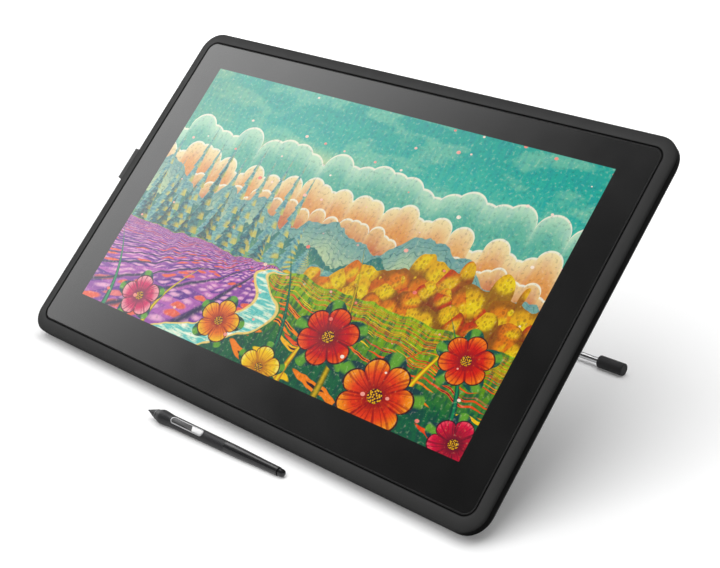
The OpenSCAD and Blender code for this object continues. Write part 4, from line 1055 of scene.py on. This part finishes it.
def woven_band():
    line = fold_line()
    columns = CORDS * CORD_STEPS + 1
    shape = bmesh.new()
    skins = []
    for way in (1, -1):
        rows = []
        for (px, pz), (nx, nz) in line:
            row = []
            for k in range(columns):
                across = k / (columns - 1)
                ridge_share = abs(math.sin(math.pi * across * CORDS))
                edge = 1.0 if min(across, 1 - across) < SELVEDGE else 0.0
                half = BAND_T / 2 - CORD_RISE * (1 - max(ridge_share, edge))
                out = way * half
                along = BAND_Y + BAND_W * (across - 0.5)
                spot = Vector((px + out * nx, along, BAND_Z + pz + out * nz))
                row.append(shape.verts.new(on_screen @ spot))
            rows.append(row)
        skins.append(rows)
    count = len(line)
    for i in range(count):
        (outer, outer_next), (inner, inner_next) = [(s[i], s[(i + 1) % count]) for s in skins]
        for k in range(columns - 1):
            shape.faces.new((outer[k], outer[k + 1], outer_next[k + 1], outer_next[k]))
            shape.faces.new((inner[k], inner_next[k], inner_next[k + 1], inner[k + 1]))
        for k in (0, columns - 1):
            shape.faces.new((outer[k], outer_next[k], inner_next[k], inner[k]))
    band = as_piece("woven_loop", shape)
    band.data.shade_smooth()
    return band


def join_in(piece, body, slot_name, *stood_for):
    """Add a piece to the scene, on a body, in a finish, in place of solids."""
    scene.collection.objects.link(piece)
    piece.data.materials.append(FINISHES[slot_name])
    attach(piece, body)
    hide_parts(*stood_for)
    print(piece.name, "faces:", len(piece.data.polygons))


join_in(woven_band(), "tablet", "woven_elastic", "pen_loop")
fold = fold_line()
girth = sum(math.dist(a[0], b[0]) for a, b in zip(fold, fold[1:] + fold[:1]))
print("band girth", round(girth, 1), "mm")

# %% [markdown]
# Screws are what holds the part together, and a plain disc gives them away. Each head is built as
# rings that share one set of angles: the shank, the underside, the rounded edge, the face, and
# then the rim and the floor of the recess. The recess is a cross or a hexagon written in polar
# form, so every ring has the same count of points and the faces join without gaps.

# %% Screws
CROSS_ARM, CROSS_HALF = 0.62, 0.15
HEX_FLAT = 0.5
SCREW_TURN = 0.7


def cross(angle):
    turn = abs((math.degrees(angle) + 45) % 90 - 45)
    c, s = math.cos(math.radians(turn)), math.sin(math.radians(turn))
    return min(CROSS_ARM / c, CROSS_HALF / max(s, 1e-6))


def hexagon(angle):
    return HEX_FLAT / math.cos(math.radians((math.degrees(angle) % 60) - 30))


def screw_angles():
    notch = math.degrees(math.atan2(CROSS_HALF, CROSS_ARM))
    quarter = [0, notch, notch + 10, 35, 45, 55, 80 - notch, 90 - notch]
    return [math.radians(90 * q + a) for q in range(4) for a in quarter]


def screw_into(shape, frame_here, head_r, head_t, shank_r, shank_len, recess, depth):
    """One screw: head towards +z of its frame, with its seat at zero."""
    angles = screw_angles()
    round_rings = [
        (shank_r, -shank_len), (shank_r, 0.0), (head_r, 0.0), (head_r, head_t * 0.55),
        (head_r * 0.93, head_t * 0.86), (head_r * 0.80, head_t),
    ]
    if head_r <= shank_r:
        round_rings = round_rings[:1] + round_rings[3:]
    rings = [[ring] * len(angles) for ring in round_rings]
    rings.append([(head_r * recess(a), head_t) for a in angles])
    rings.append([(head_r * recess(a) * 0.82, head_t - depth) for a in angles])
    made = [[shape.verts.new(frame_here @ Vector((r * math.cos(a), r * math.sin(a), h)))
             for a, (r, h) in zip(angles, ring)] for ring in rings]
    count = len(angles)
    for low, high in zip(made, made[1:]):
        for i in range(count):
            shape.faces.new((low[i], low[(i + 1) % count], high[(i + 1) % count], high[i]))
    shape.faces.new(made[-1])
    shape.faces.new(list(reversed(made[0])))


def screw_set(name, frames, *sizes):
    shape = bmesh.new()
    for one in frames:
        screw_into(shape, one, *sizes)
    piece = as_piece(name, shape)
    piece.modifiers.new("shaded", "NODES").node_group = SMOOTH
    return piece


def corners(across, up):
    return [(sx * across, sy * up) for sx in (-1, 1) for sy in (-1, 1)]


def rear_facing(spots, depth):
    """Frames of screws that face backwards, at a depth, each turned a little differently."""
    flip = Matrix.Rotation(math.pi, 4, "X")
    turns = [Matrix.Rotation(SCREW_TURN * i, 4, "Z") for i in range(len(spots))]
    return [on_screen @ Matrix.Translation((*spot, depth)) @ flip @ turn
            for spot, turn in zip(spots, turns)]


cover_frames = rear_facing(corners(245, 60) + corners(120, 145), -20.9)
bracket_frames = rear_facing(corners(54, 24), -44.0)
rod_frames = [on_arm @ Matrix.Translation((sx * 20, 185.2, 6.0)) for sx in (-1, 1)]
cover_set = screw_set("cover_screw_set", cover_frames, 3.6, 2.4, 1.5, 9.7, cross, 1.4)
bracket_set = screw_set("bracket_screw_set", bracket_frames, 3.5, 2.5, 2.0, 16.0, cross, 1.5)
rod_set = screw_set("rod_screw_set", rod_frames, 2.0, 1.0, 2.0, 3.0, hexagon, 0.9)
join_in(cover_set, "tablet", "dark_steel", "cover_screws")
join_in(bracket_set, "tablet", "bright_steel", "bracket_screws")
join_in(rod_set, "stand", "dark_steel", "rod_screws")
